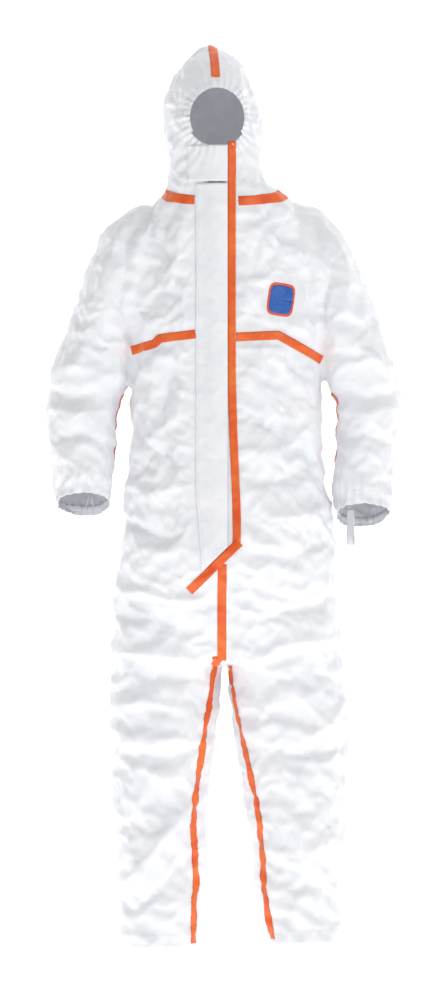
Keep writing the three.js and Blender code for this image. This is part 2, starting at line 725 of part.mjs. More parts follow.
// Slider: two plates round the coils, joined by a post that runs between them, and a bail.
const sliderZ = ZIP_LENGTH - 28;
const slider = join([
  block([-6, -2.8, 0], [6, -1.6, 20]),
  block([-6, 1.6, 0], [6, 2.8, 20]),
  block([-0.45, -2, 12], [0.45, 2, 19]),
  block([-1.2, -4.4, 3.4], [1.2, -2.4, 4.8]),
  block([-1.2, -4.4, 12.4], [1.2, -2.4, 13.8]),
  block([-1.2, -5.2, 3.4], [1.2, -4.2, 13.8]),
]).translate([0, 0, sliderZ]);
add("zip_slider", slider, finish.zipPlastic(), placket);
const pull = block([-4.5, -3.95, -26], [4.5, -3.05, 8])
  .subtract(block([-2.6, -6, 1.9], [2.6, 0, 6.3]))
  .subtract(block([-2.6, -6, -20], [2.6, 0, -10]))
  .translate([0, 0, sliderZ]);
add("zip_pull", pull, finish.zipPlastic(), placket);

// Flaps: bent strips hinged beside the front tape, each with its adhesive strip.
function flap(name, path, [low, high]) {
  const shape = new THREE.Shape(band(path, FLAP_THICK).map(([x, y]) => new THREE.Vector2(x, y)));
  const geometry = new THREE.ExtrudeGeometry(shape, { depth: high - low, bevelEnabled: false });
  geometry.translate(0, 0, low);
  piece(name, geometry, finish.shell(), placket);
}
flap("storm_flap", STORM_SECTION, STORM_SPAN);
flap("chin_flap", CHIN_SECTION, CHIN_SPAN);
const stickBack = FLAP_THICK / 2 + 0.35;
const [stickX, stickY] = STORM_SECTION[STORM_SECTION.length - 1];
piece(
  "storm_flap_adhesive",
  bar(
    [stickX + 2, stickY + stickBack, STORM_SPAN[0] + 12],
    [stickX + 2 + ADHESIVE_WIDTH, stickY + stickBack + 0.6, STORM_SPAN[1] - 8],
  ),
  finish.adhesive(),
  placket,
);
const chinStick = new THREE.Group();
const [nextIn, outer] = CHIN_SECTION.slice(-2);
chinStick.position.set((outer[0] + nextIn[0]) / 2, (outer[1] + nextIn[1]) / 2, 0);
chinStick.rotation.z = Math.atan2(nextIn[1] - outer[1], nextIn[0] - outer[0]);
placket.add(chinStick);
piece(
  "chin_flap_adhesive",
  bar([-5, stickBack, CHIN_SPAN[0] + 8], [5, stickBack + 0.6, CHIN_SPAN[1] - 8]),
  finish.adhesive(),
  chinStick,
);

// Finger loops: a narrow strap hanging from the front of each cuff, with both ends at the cuff.
SIDE_NAMES.forEach((name) => {
  const { x, y, z, turn, strap } = FINGER_LOOP[name];
  const reach = (FINGER_LOOP.width - FINGER_LOOP.thick) / 2;
  const drop = FINGER_LOOP.height;
  const right = [
    [FINGER_LOOP.thick, 0],
    [reach * 0.45, -drop * 0.27],
    [reach * 0.9, -drop * 0.56],
    [reach, -drop * 0.8],
    [reach * 0.58, -drop * 0.96],
  ];
  const left = right.map(([across, down]) => [-across, down]).reverse();
  const route = [...right, [0, -drop], ...left].map(([across, down]) => new THREE.Vector2(across, down));
  const smooth = new THREE.SplineCurve(route).getPoints(24).map((point) => [point.x, point.y]);
  const outline = band(smooth, FINGER_LOOP.thick).map(([across, down]) => new THREE.Vector2(across, down));
  const shape = new THREE.Shape(outline);
  const geometry = new THREE.ExtrudeGeometry(shape, { depth: strap, bevelEnabled: false });
  geometry.translate(0, 0, -strap / 2);
  geometry.rotateX(Math.PI / 2);
  geometry.rotateZ(THREE.MathUtils.degToRad(turn));
  const loop = piece(`finger_loop_${name}`, geometry, finish.loop());
  loop.position.set(x, y, z);
});

// The origin is under the middle of the whole suit, at the lowest hem.
suit.updateMatrixWorld(true);
const bounds = new THREE.Box3().setFromObject(suit, true);
const middle = bounds.getCenter(new THREE.Vector3());
suit.position.set(-middle.x, -middle.y, -bounds.min.z);
suit.updateMatrixWorld(true);

export default suit;
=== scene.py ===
"""Chemical protective coverall: cloth, tapes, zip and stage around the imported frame."""

import json
import math
from itertools import product

import bmesh
import bpy
import numpy as np
from bpy.props import FloatProperty, FloatVectorProperty, IntProperty, PointerProperty
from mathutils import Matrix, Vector
from mathutils.bvhtree import BVHTree

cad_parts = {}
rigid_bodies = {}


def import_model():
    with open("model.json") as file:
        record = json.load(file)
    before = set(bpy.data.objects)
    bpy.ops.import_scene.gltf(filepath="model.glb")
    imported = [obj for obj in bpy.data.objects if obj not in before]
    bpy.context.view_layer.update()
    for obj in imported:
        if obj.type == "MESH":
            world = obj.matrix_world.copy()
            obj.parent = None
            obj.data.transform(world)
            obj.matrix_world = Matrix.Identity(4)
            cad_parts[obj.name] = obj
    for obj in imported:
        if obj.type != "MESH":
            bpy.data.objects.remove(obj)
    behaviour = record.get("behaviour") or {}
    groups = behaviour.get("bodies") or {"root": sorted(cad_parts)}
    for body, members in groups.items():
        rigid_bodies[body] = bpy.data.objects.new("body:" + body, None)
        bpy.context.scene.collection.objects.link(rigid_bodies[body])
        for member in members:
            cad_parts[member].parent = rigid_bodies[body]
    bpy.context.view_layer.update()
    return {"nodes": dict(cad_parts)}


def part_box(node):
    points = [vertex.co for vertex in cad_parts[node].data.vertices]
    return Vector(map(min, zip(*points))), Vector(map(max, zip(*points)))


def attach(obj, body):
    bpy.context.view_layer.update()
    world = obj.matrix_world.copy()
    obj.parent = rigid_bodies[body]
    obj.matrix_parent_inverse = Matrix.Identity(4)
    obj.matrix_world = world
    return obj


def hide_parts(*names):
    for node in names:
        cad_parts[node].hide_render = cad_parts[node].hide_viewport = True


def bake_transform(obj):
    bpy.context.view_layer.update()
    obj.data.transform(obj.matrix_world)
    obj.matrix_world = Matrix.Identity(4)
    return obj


bl_info = {
    "name": "Protective coverall",
    "version": (1, 0, 0),
    "blender": (4, 5, 0),
    "location": "3D View > Sidebar > Coverall",
    "description": "Builds a hooded protective coverall around its packed frame",
    "category": "Object",
}

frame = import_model()
MM = 0.001

# ------------------------------------------------------------------ places, from the frame


def middle(node, axis):
    """Middle of a node's box along one axis, in metres."""
    low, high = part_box(node)
    return (low[axis] + high[axis]) / 2


# The suit is drawn in millimetres round its own centre line, and moved to the frame's origin.
CENTRE_X = -10.0
BACK_TAPE_X = -8.0
HEM_MIDDLE_Y = 4.0
ORIGIN = np.array(
    [middle("back_tape", 0) / MM - BACK_TAPE_X, middle("hem_left", 1) / MM - HEM_MIDDLE_Y, 0.0]
)

SIDES = ("left", "right")
SIGN = {"left": -1, "right": 1}
ELBOW_Z = 1065.0
ARM_CUT_Z = 1078.0
LEG_CUT_Z = 506.0
FACE = {"x": -17.0, "z": 1609.0, "half_width": 53.0, "half_height": 57.0, "bottom": 1555.0}
ZIP_LOW = (-150.0, 775.0)
ZIP_HIGH = (-115.0, 1545.0)
ZIP_X = -18.0
SLOT_HALF = 17.0
NECK_FRONT = np.array([0.0, -115.0, 1447.0])
NECK_TILT = math.radians(13)
CUFF_TILT = math.radians(22)
CUFF_FRONT_Y = -86.0
CUFF_FRONT_Z = {"left": 880.0, "right": 858.0}
CUFF_MIDDLE = {"left": (-273.0, -32.0), "right": (268.0, -32.0)}
HEM_MIDDLE = {"left": (-127.0, 4.0), "right": (148.0, 4.0)}
HEM_Z = {"left": 0.0, "right": 8.0}
NECK_NORMAL = np.array([0, -math.sin(NECK_TILT), math.cos(NECK_TILT)])
CUFF_NORMAL = np.array([0, -math.sin(CUFF_TILT), -math.cos(CUFF_TILT)])
ZIP_LENGTH = math.hypot(ZIP_HIGH[0] - ZIP_LOW[0], ZIP_HIGH[1] - ZIP_LOW[1])
ZIP_LEAN = math.atan2(ZIP_HIGH[0] - ZIP_LOW[0], ZIP_HIGH[1] - ZIP_LOW[1])
UP = (0, 0, 1)
DOWN = (0, 0, -1)

# Pairs of heights, high then low, at the elbow and the knee.
ELBOW_BLEND = (1078.0, 1030.0)
KNEE_BLEND = (500.0, 360.0)

# Thicknesses, and how far each thing lies off the cloth, in millimetres. Below 0 is inside it.
CLOTH_THICKNESS = 0.9
TAPE_THICKNESS = 0.5
ADHESIVE_THICKNESS = 0.2
FILM_THICKNESS = 0.4
ELASTIC_THICKNESS = 0.8
LOOP_THICKNESS = 1.1
TAPE_HEIGHT = 0.5
OVER_TAPE = 0.3
OVER_FLAP = 0.6
FLAP_LIFT = 0.3
ADHESIVE_HEIGHT = 0.05
BADGE_HEIGHT = 0.35
THREAD_HEIGHT = 0.15
ELASTIC_HEIGHT = -2.4
WAIST_HEIGHT = -2.6
INWARDS = -1
OUTWARDS = 1

# Strips: their widths, how many points lie across them, and the step between rows.
TAPE_WIDTH = 17.0
FRONT_TAPE_WIDTH = 15.5
TAPE_ACROSS = 7
ROW_STEP = 4.0
RAY_START = 400.0
BADGE = {"x": 106.0, "z": 1255.0, "width": 51.0, "height": 64.0, "lean": math.radians(-8)}


def front_line(z):
    """Y of the straight line that the zip lies on."""
    return ZIP_LOW[0] + (z - ZIP_LOW[1]) * (ZIP_HIGH[0] - ZIP_LOW[0]) / (ZIP_HIGH[1] - ZIP_LOW[1])


# Level sections, as the frame's: height, left, right, front, back and squareness.
TORSO = [
    [552, -214, 219, -97, 104, 2.7],
    [600, -212, 216, -108, 112, 2.7],
    [673, -206, 209, -127, 120, 2.6],
    [760, -198, 204, front_line(760), 126, 2.5],
    [850, -190, 195, front_line(850), 122, 2.4],
    [940, -183, 183, front_line(940), 114, 2.4],
    [1040, -179, 178, front_line(1040), 110, 2.4],
    [1140, -181, 181, front_line(1140), 118, 2.4],
    [1240, -180, 180, front_line(1240), 124, 2.4],
    [1330, -172, 170, front_line(1330), 120, 2.3],
    [1390, -160, 156, front_line(1390), 108, 2.2],
    [1430, -142, 138, front_line(1430), 96, 2.1],
    [1462, -121, 114, front_line(1462), 86, 2.1],
    [1482, -108, 78, front_line(1482), 82, 2.1],
]
HOOD = [
    [1436, -112, 84, front_line(1436), 82, 2.2],
    [1478, -112, 81, front_line(1478), 84, 2.2],
    [1500, -106, 62, front_line(1500), 90, 2.2],
    [1530, -106, 58, front_line(1530), 98, 2.2],
    [1565, -111, 63, front_line(1565), 110, 2.2],
    [1609, -115, 66, -118, 122, 2.2],
    [1645, -112, 61, -114, 122, 2.2],
    [1680, -102, 51, -101, 112, 2.1],
    [1708, -90, 37, -80, 92, 2.1],
    [1732, -71, 15, -52, 62, 2],
    [1748, -50, -13, -24, 28, 2],
    [1754, -40, -24, -8, 10, 2],
]
SLEEVE = {
    "left": [
        [790, -312, -244, -70, -4, 2],
        [840, -318, -238, -80, 14, 2],
        [866, -325, -230, -86, 24, 2],
        [907, -331, -227, -88, 36, 2],
        [965, -336, -222, -85, 49, 2],
        [1010, -342, -217, -80, 58, 2],
        [1064, -341, -213, -74, 66, 2],
        [1082, -341, -205, -76, 68, 2],
        [1110, -336, -180, -79, 72, 2],
        [1150, -326, -168, -83, 79, 2],
        [1200, -309, -160, -87, 85, 2],
        [1300, -274, -140, -86, 88, 2],
        [1345, -259, -122, -80, 84, 2],
        [1375, -244, -108, -72, 78, 2],
        [1404, -226, -98, -58, 64, 2],
        [1431, -190, -95, -34, 40, 2],
        [1444, -160, -108, -14, 20, 2],
    ],
    "right": [
        [776, 230, 304, -70, -4, 2],
        [820, 226, 308, -80, 14, 2],
        [846, 219, 314, -86, 24, 2],
        [890, 215, 319, -88, 36, 2],
        [950, 217, 326, -85, 49, 2],
        [1000, 221, 331, -80, 58, 2],
        [1064, 219, 335, -74, 66, 2],
        [1090, 208, 331, -76, 68, 2],
        [1126, 181, 323, -80, 74, 2],
        [1160, 170, 313, -84, 80, 2],
        [1200, 160, 298, -87, 85, 2],
        [1300, 138, 269, -86, 88, 2],
        [1345, 118, 247, -80, 84, 2],
        [1375, 104, 232, -72, 78, 2],
        [1404, 94, 213, -58, 64, 2],
        [1431, 91, 184, -34, 40, 2],
        [1444, 104, 156, -14, 20, 2],
    ],
}
LEG = {
    "left": [
        [-14, -195, -60, -77, 85, 2.2],
        [0, -196, -58, -78, 86, 2.2],
        [60, -199, -50, -82, 90, 2.2],
        [190, -206, -44, -88, 96, 2.2],
        [310, -212, -37, -91, 98, 2.2],
        [430, -213, -20, -94, 98, 2.2],
        [500, -215, -13, -96, 102, 2.3],
        [560, -212, -12, -98, 104, 2.4],
        [640, -204, -12, -112, 112, 2.5],
    ],
    "right": [
        [-8, 85, 215, -77, 85, 2.2],
        [8, 84, 216, -78, 86, 2.2],
        [60, 74, 217, -82, 90, 2.2],
        [190, 59, 225, -88, 96, 2.2],
        [310, 41, 227, -91, 98, 2.2],
        [430, 21, 226, -94, 98, 2.2],
        [500, 10, 221, -96, 102, 2.3],
        [560, 8, 217, -98, 104, 2.4],
        [640, 8, 208, -112, 112, 2.5],
    ],
}

# ------------------------------------------------------------------ mesh helpers


def to_frame(points):
    """Millimetres round the suit's centre line to metres in the frame."""
    return (np.asarray(points, float) + ORIGIN) * MM


def new_object(name, points, faces, smooth=True):
    """A mesh object from points in millimetres and lists of corners."""
    mesh = bpy.data.meshes.new(name)
    mesh.from_pydata(to_frame(points).tolist(), [], [list(map(int, face)) for face in faces])
    mesh.validate()
    mesh.polygons.foreach_set("use_smooth", [smooth] * len(mesh.polygons))
    obj = bpy.data.objects.new(name, mesh)
    bpy.context.scene.collection.objects.link(obj)
    return obj


def coords(mesh):
    """A mesh's points in millimetres round the suit's centre line."""
    out = np.zeros(len(mesh.vertices) * 3)
    mesh.vertices.foreach_get("co", out)
    return out.reshape(-1, 3) / MM - ORIGIN


def set_coords(mesh, points):
    mesh.vertices.foreach_set("co", to_frame(points).ravel())
    mesh.update()


def normals(mesh):
    out = np.zeros(len(mesh.vertices) * 3)
    mesh.vertices.foreach_get("normal", out)
    return out.reshape(-1, 3)


def rounded(value, power):
    return np.sign(value) * np.abs(value) ** (2 / power)


def smooth_sections(stations, step):
    """Sections at even heights, eased between the given ones."""
    table = np.array(stations, float)
    heights = np.linspace(table[0, 0], table[-1, 0], max(2, int((table[-1, 0] - table[0, 0]) / step)))
    slopes = np.gradient(table[:, 1:], table[:, 0], axis=0)
    at = np.clip(np.searchsorted(table[:, 0], heights) - 1, 0, len(table) - 2)
    gap = (table[at + 1, 0] - table[at, 0])[:, None]
    t = ((heights - table[at, 0])[:, None]) / gap
    eased = (
        (2 * t**3 - 3 * t**2 + 1) * table[at, 1:]
        + (t**3 - 2 * t**2 + t) * gap * slopes[at]
        + (-2 * t**3 + 3 * t**2) * table[at + 1, 1:]
        + (t**3 - t**2) * gap * slopes[at + 1]
    )
    return np.column_stack([heights, eased])


def tube(stations, grow=0.0, sides=48, step=12.0):
    """Points and faces of a closed stack of level sections."""
    sections = smooth_sections(stations, step)
    turn = 2 * math.pi * (np.arange(sides) + 0.5) / sides
    points = []
    for z, left, right, front, back, power in sections:
        x = (left + right) / 2 + ((right - left) / 2 + grow) * rounded(np.cos(turn), power)
        y = (front + back) / 2 + ((back - front) / 2 + grow) * rounded(np.sin(turn), power)
        points.append(np.column_stack([x, y, np.full(sides, z)]))
    rows = len(points)
    faces = [list(range(sides))[::-1], [(rows - 1) * sides + i for i in range(sides)]]
    for row in range(rows - 1):
        for i in range(sides):
            j = (i + 1) % sides
            faces.append([row * sides + i, row * sides + j, (row + 1) * sides + j, (row + 1) * sides + i])
    return np.vstack(points), faces


def noise(points, seed):
    """Smooth noise from about -1 to 1, the same on every run."""
    cell = np.floor(points).astype(np.int64)
    local = points - cell
    fade = local**3 * (local * (local * 6 - 15) + 10)
    total = np.zeros(len(points))
    for corner in product((0, 1), repeat=3):
        corner = np.array(corner)
        key = (cell + corner) @ np.array([73856093, 19349663, 83492791]) + seed * 7919
        key = (key ^ (key >> 13)) * 1274126177 & 0x7FFFFFFF
        key = (key ^ (key >> 15)) * 2246822519 & 0x3FFFFFFF
        slope = np.column_stack([key & 1023, key >> 10 & 1023, key >> 20 & 1023]) / 511.5 - 1
        weight = np.prod(np.where(corner, fade, 1 - fade), axis=1)
        total += weight * np.sum(slope * (local - corner), axis=1)
    return total * 1.4


def path_distance(points, path):
    """Distance of points from an open path, and how far along it each is, from 0 to 1."""
    path = np.array(path, float)
    lengths = np.linalg.norm(np.diff(path, axis=0), axis=1)
    ends = np.concatenate([[0], np.cumsum(lengths)])
    best = np.full(len(points), 1e9)
    along = np.zeros(len(points))
    for i, length in enumerate(lengths):
        step = (path[i + 1] - path[i]) / length
        t = np.clip((points - path[i]) @ step, 0, length)
        gap = np.linalg.norm(points - path[i] - t[:, None] * step, axis=1)
        closer = gap < best
        best = np.where(closer, gap, best)
        along = np.where(closer, (ends[i] + t) / ends[-1], along)
    return best, along


def ease(value, low, high):
    """0 below low, 1 above high, smooth between."""
    t = np.clip((value - low) / (high - low), 0, 1)
    return t * t * (3 - 2 * t)


# ------------------------------------------------------------------ materials

# A wave texture's scale that repeats once in a metre, so that this over a pitch gives that pitch.
WAVES_PER_PITCH = 0.314


def linear(hexa):
    """An sRGB hex colour as linear RGBA."""
    values = [int(hexa[i : i + 2], 16) / 255 for i in (1, 3, 5)]
    return tuple(v / 12.92 if v <= 0.04045 else ((v + 0.055) / 1.055) ** 2.4 for v in values) + (1.0,)


def add_node(tree, kind, settings=None, **inputs):
    """Adds a node, with its settings, and with values or links for its inputs.

    An input is given by its name, or by its number after an underscore.
    """
    node = tree.nodes.new(kind)
    for name, value in (settings or {}).items():
        setattr(node, name, value)
    for name, value in inputs.items():
        numbered = name[1:].isdigit()
        socket = node.inputs[int(name[1:]) if numbered else name.replace("_", " ")]
        if isinstance(value, bpy.types.NodeSocket):
            tree.links.new(value, socket)
        else:
            socket.default_value = value
    return node


def new_material(name, **shader):
    """An empty material with a Principled shader, and the node tree to fill."""
    material = bpy.data.materials.new(name)
    material.use_nodes = True
    tree = material.node_tree
    tree.nodes.clear()
    output = tree.nodes.new("ShaderNodeOutputMaterial")
    principled = add_node(tree, "ShaderNodeBsdfPrincipled", None, **shader)
    tree.links.new(principled.outputs[0], output.inputs[0])
    return material, tree, principled


def colour_ramp(tree, factor, stops):
    """Blends hex colours along a factor."""
    ramp = add_node(tree, "ShaderNodeValToRGB", None, Fac=factor)
    elements = ramp.color_ramp.elements
    while len(elements) < len(stops):
        elements.new(0.5)
    for element, (place, hexa) in zip(elements, stops):
        element.position = place
        element.color = linear(hexa)
    return ramp.outputs["Color"]


def object_place(tree):
    return add_node(tree, "ShaderNodeTexCoord").outputs["Object"]


def cloudy(tree, shader, place, stops, gloss, **cloud):
    """One soft noise gives the colour and the gloss their slight unevenness."""
    patches = add_node(tree, "ShaderNodeTexNoise", None, Vector=place, **cloud).outputs["Fac"]
    tree.links.new(colour_ramp(tree, patches, stops), shader.inputs["Base Color"])
    rough = add_node(tree, "ShaderNodeMapRange", None, Value=patches, _3=gloss[0], _4=gloss[1])
    tree.links.new(rough.outputs[0], shader.inputs["Roughness"])


def bumped(tree, shader, height, strength, distance):
    """Lets a pattern's height turn the surface's normal; distance is in metres."""
    relief = add_node(tree, "ShaderNodeBump", None, Strength=strength, Distance=distance, Height=height)
    tree.links.new(relief.outputs[0], shader.inputs["Normal"])


def crinkled(tree, place, fibre, share, crinkle):
    """Height of a fine fibre pattern added to larger rounded cells, as in a crinkled film."""
    fine = add_node(tree, "ShaderNodeTexNoise", None, Vector=place, **fibre).outputs["Fac"]
    cells = add_node(tree, "ShaderNodeTexVoronoi", {"feature": "SMOOTH_F1"}, Vector=place, **crinkle)
    both = add_node(
        tree, "ShaderNodeMath", {"operation": "MULTIPLY_ADD"}, _0=fine, _1=share, _2=cells.outputs["Distance"]
    )
    return both.outputs[0]


def cloth_material(name, light, shade, rough, bump, glow=0.0):
    """Flash-spun nonwoven: random swirling fibres, a paper-like hand and a faint film sheen.

    The eye sees a soft cloudy white with fine fibre swirls of about 2 mm and small crinkles of about
    18 mm. Real fibres are finer, and are drawn as coarse as they need to show. A little glow on the
    inner face stands for the light that comes through the thin cloth.
    """
    material, tree, shader = new_material(
        name, IOR=1.49, Emission_Color=linear("#F2F4F8"), Emission_Strength=glow
    )
    place = object_place(tree)
    cloudy(
        tree, shader, place, [(0.3, shade), (0.7, light)], (rough - 0.06, rough + 0.06),
        Scale=18.0, Detail=4.0, Roughness=0.6,
    )
    fibre = {"Scale": 420.0, "Detail": 3.0, "Distortion": 2.5}
    height = crinkled(tree, place, fibre, 0.22, {"Scale": 55.0, "Smoothness": 0.35})
    bumped(tree, shader, height, bump, 0.0016)
    return material


def tape_material():
    """Heat-sealed film tape.

    The eye sees a satin orange film that takes the crinkle of the cloth under it, every 11 mm or so.
    """
    material, tree, shader = new_material("heat-sealed orange film tape", IOR=1.5)
    place = object_place(tree)
    stops = [(0.3, "#E9551C"), (0.72, "#F67A2E")]
    cloudy(tree, shader, place, stops, (0.38, 0.52), Scale=26.0, Detail=3.0)
    grain = {"Scale": 300.0, "Detail": 2.0}
    height = crinkled(tree, place, grain, 0.2, {"Scale": 90.0, "Smoothness": 0.4})
    bumped(tree, shader, height, 0.35, 0.0012)
    return material


def woven_material(name, light, shade, pitch):
    """Narrow woven or knitted band, at a thread pitch in metres.

    The eye sees matt cloth with fine ribs across and along it.
    """
    material, tree, shader = new_material(name, IOR=1.5, Roughness=0.8)
    place = object_place(tree)
    ribs, cross = [
        add_node(
            tree,
            "ShaderNodeTexWave",
            {"bands_direction": direction},
            Vector=place,
            Scale=WAVES_PER_PITCH / pitch,
            Distortion=0.6,
        ).outputs["Fac"]
        for direction in ("Z", "X")
    ]
    weave = add_node(tree, "ShaderNodeMath", {"operation": "MULTIPLY"}, _0=ribs, _1=cross).outputs[0]
    tree.links.new(colour_ramp(tree, weave, [(0.0, shade), (0.6, light)]), shader.inputs["Base Color"])
    bumped(tree, shader, weave, 0.5, pitch / 2)
    return material


def plastic_material(name, light, shade, rough, **shader_values):
    """Moulded or printed plastic.

    The eye sees an even colour with a fine moulded grain under 1 mm.
    """
    material, tree, shader = new_material(name, IOR=1.53, **shader_values)
    place = object_place(tree)
    stops = [(0.35, shade), (0.7, light)]
    cloudy(tree, shader, place, stops, (rough - 0.04, rough + 0.05), Scale=120.0, Detail=2.0)
    grain = add_node(tree, "ShaderNodeTexNoise", None, Vector=place, Scale=1400.0, Detail=1.0)
    bumped(tree, shader, grain.outputs["Fac"], 0.15, 0.0003)
    return material


materials = {}

# Finishes: kind of material, real finish, light and shaded colour, and the kind's own values.
FINISHES = {
    # Bright, faintly cool white with a low sheen from its film.
    "shell": (cloth_material, "film-coated flash-spun nonwoven", "#FAFAFC", "#EEF1F6", 0.52, 0.5),
    # Grey inside, seen at the face and the cuffs: the grey is painted shade, as the real inner face is white,
    # and its faint glow is painted light.
    "lining": (
        cloth_material, "uncoated inner face of the nonwoven", "#C9CBD0", "#B4B7BD", 0.85, 0.35, 0.13
    ),
    # Off-white ribbed bands, which only show inside an opening.
    "elastic": (woven_material, "knitted elastic", "#EDEEF0", "#C9CBCF", 0.0012),
    # White strap, softer and finer than the elastic.
    "loop": (woven_material, "soft woven elastic strap", "#F4F5F7", "#D3D6DB", 0.0011),
    # Dense greyish white beside the zip's teeth.
    "zip_tape": (woven_material, "woven polyester zip tape", "#EDEDEF", "#C6C7CC", 0.0009),
    # Warm white with a clear highlight.
    "zip": (plastic_material, "moulded nylon", "#F1F1EE", "#E2E2DF", 0.36),
    # Greenish grey and glossy, where the flap's liner shows.
    "adhesive": (plastic_material, "clear adhesive strip", "#DDE2E1", "#CBD1D0", 0.22),
    # Even, satin print.
    "badge": (plastic_material, "printed film, blue", "#2C66BE", "#245AAD", 0.42),
    "badge_edge": (plastic_material, "printed film, orange", "#F0602C", "#E4521F", 0.42),
    # Thin white rows that catch the light.
    "thread": (woven_material, "spun polyester thread", "#F2F3F5", "#CFD2D8", 0.0006),
}
FLOOR_GLOW = 0.7


def make_materials():
    for finish, (kind, *values) in FINISHES.items():
        materials[finish] = kind(*values)
    materials["tape"] = tape_material()
    # Paper lit until it is white, so that the suit stands on an even ground.
    white = linear("#FFFFFF")
    materials["floor"] = plastic_material(
        "lit matt studio paper", "#FFFFFF", "#FBFBFC", 0.9, Emission_Color=white, Emission_Strength=FLOOR_GLOW
    )


# ------------------------------------------------------------------ the cloth

work = {}

# The chest seam's x and z, across the front.
CHEST_SEAM = [
    (-260, 1128), (-184, 1158), (-132, 1178), (-59, 1186), (22, 1184), (101, 1184), (186, 1140), (260, 1112)
]

# Folds in the front of the cloth: x and z along the fold, how far it reaches and how deep it is.
FRONT_FOLDS = [
    ([(-88, 1452), (-112, 1395), (-132, 1320), (-142, 1240)], 13, -7),
    ([(-70, 1446), (-92, 1370), (-104, 1290)], 11, 6),
    ([(-104, 1456), (-150, 1400), (-178, 1330)], 12, 6),
    ([(-176, 1412), (-196, 1340), (-190, 1250), (-184, 1170), (-186, 1112)], 14, -12),
    ([(-205, 1400), (-228, 1320), (-232, 1240)], 14, 6),
    ([(-160, 1300), (-150, 1220), (-156, 1130)], 12, 6),
    ([(-136, 1150), (-142, 1040), (-128, 930), (-134, 840)], 14, 7),
    ([(-112, 1130), (-120, 1020), (-106, 900)], 12, -6),
    ([(-180, 1010), (-130, 960), (-90, 935)], 11, -5),
    ([(-185, 900), (-140, 880), (-90, 890)], 11, 6),
    ([(-188, 830), (-130, 800), (-80, 806)], 12, -6),
    ([(-66, 1250), (-70, 1100), (-64, 960)], 10, -3),
    ([(70, 1452), (104, 1390), (128, 1310), (146, 1230)], 13, -7),
    ([(48, 1440), (70, 1372), (78, 1300)], 11, 5),
    ([(96, 1452), (140, 1400), (170, 1335)], 12, 6),
    ([(170, 1410), (196, 1340), (192, 1250), (188, 1170), (194, 1118)], 14, -12),
    ([(208, 1386), (228, 1310), (236, 1240)], 14, 6),
    ([(150, 1280), (160, 1200), (150, 1140)], 11, 5),
    ([(60, 1170), (80, 1040), (70, 930)], 12, 5),
    ([(120, 1140), (110, 1030), (126, 920)], 12, -6),
    ([(176, 1040), (130, 985), (80, 960), (40, 965)], 11, 6),
    ([(180, 960), (120, 915), (50, 900)], 12, -6),
    ([(190, 860), (130, 838), (60, 846)], 12, 6),
    ([(190, 790), (110, 760), (50, 766)], 12, -5),
    ([(-200, 700), (-130, 690), (-60, 660)], 12, 6),
    ([(-205, 640), (-140, 640), (-60, 610)], 12, -6),
    ([(-208, 585), (-150, 575), (-70, 560)], 12, 6),
    ([(-210, 530), (-150, 535), (-80, 515), (-40, 520)], 12, -6),
    ([(-208, 470), (-150, 480), (-80, 465)], 12, 6),
    ([(200, 680), (130, 660), (60, 640)], 12, -5),
    ([(206, 600), (140, 596), (60, 575)], 12, 6),
    ([(210, 520), (150, 530), (80, 512)], 12, -5),
    ([(-205, 430), (-150, 400), (-90, 412), (-50, 400)], 13, 8),
    ([(-206, 390), (-140, 372), (-70, 384)], 12, -6),
    ([(-205, 330), (-160, 350), (-100, 330)], 11, 5),
    ([(215, 450), (160, 425), (90, 436), (50, 420)], 13, 7),
    ([(218, 395), (150, 380), (80, 392)], 12, -6),
    ([(-196, 120), (-140, 190), (-80, 270)], 15, 9),
    ([(-190, 60), (-130, 120), (-70, 180)], 13, -6),
    ([(-120, 300), (-110, 210), (-124, 120)], 12, -4),
    ([(216, 230), (160, 190), (90, 200)], 12, 5),
    ([(210, 110), (150, 130), (100, 100)], 12, -5),
    ([(140, 330), (150, 240), (140, 150)], 12, 4),
    ([(-335, 1085), (-290, 1066), (-240, 1080)], 11, -9),
    ([(-335, 1050), (-285, 1040), (-225, 1052)], 11, 7),
    ([(-332, 1120), (-280, 1130), (-225, 1110)], 12, 7),
    ([(-338, 980), (-280, 1000), (-232, 985)], 11, -5),
    ([(330, 1085), (285, 1066), (228, 1080)], 11, -9),
    ([(330, 1050), (280, 1040), (226, 1050)], 11, 7),
    ([(322, 1130), (270, 1140), (215, 1116)], 12, 7),
    ([(324, 985), (270, 1000), (224, 985)], 11, -5),
    ([(-100, 1480), (-88, 1540), (-98, 1600)], 10, 4),
    ([(54, 1490), (46, 1540), (54, 1600)], 10, 4),
]
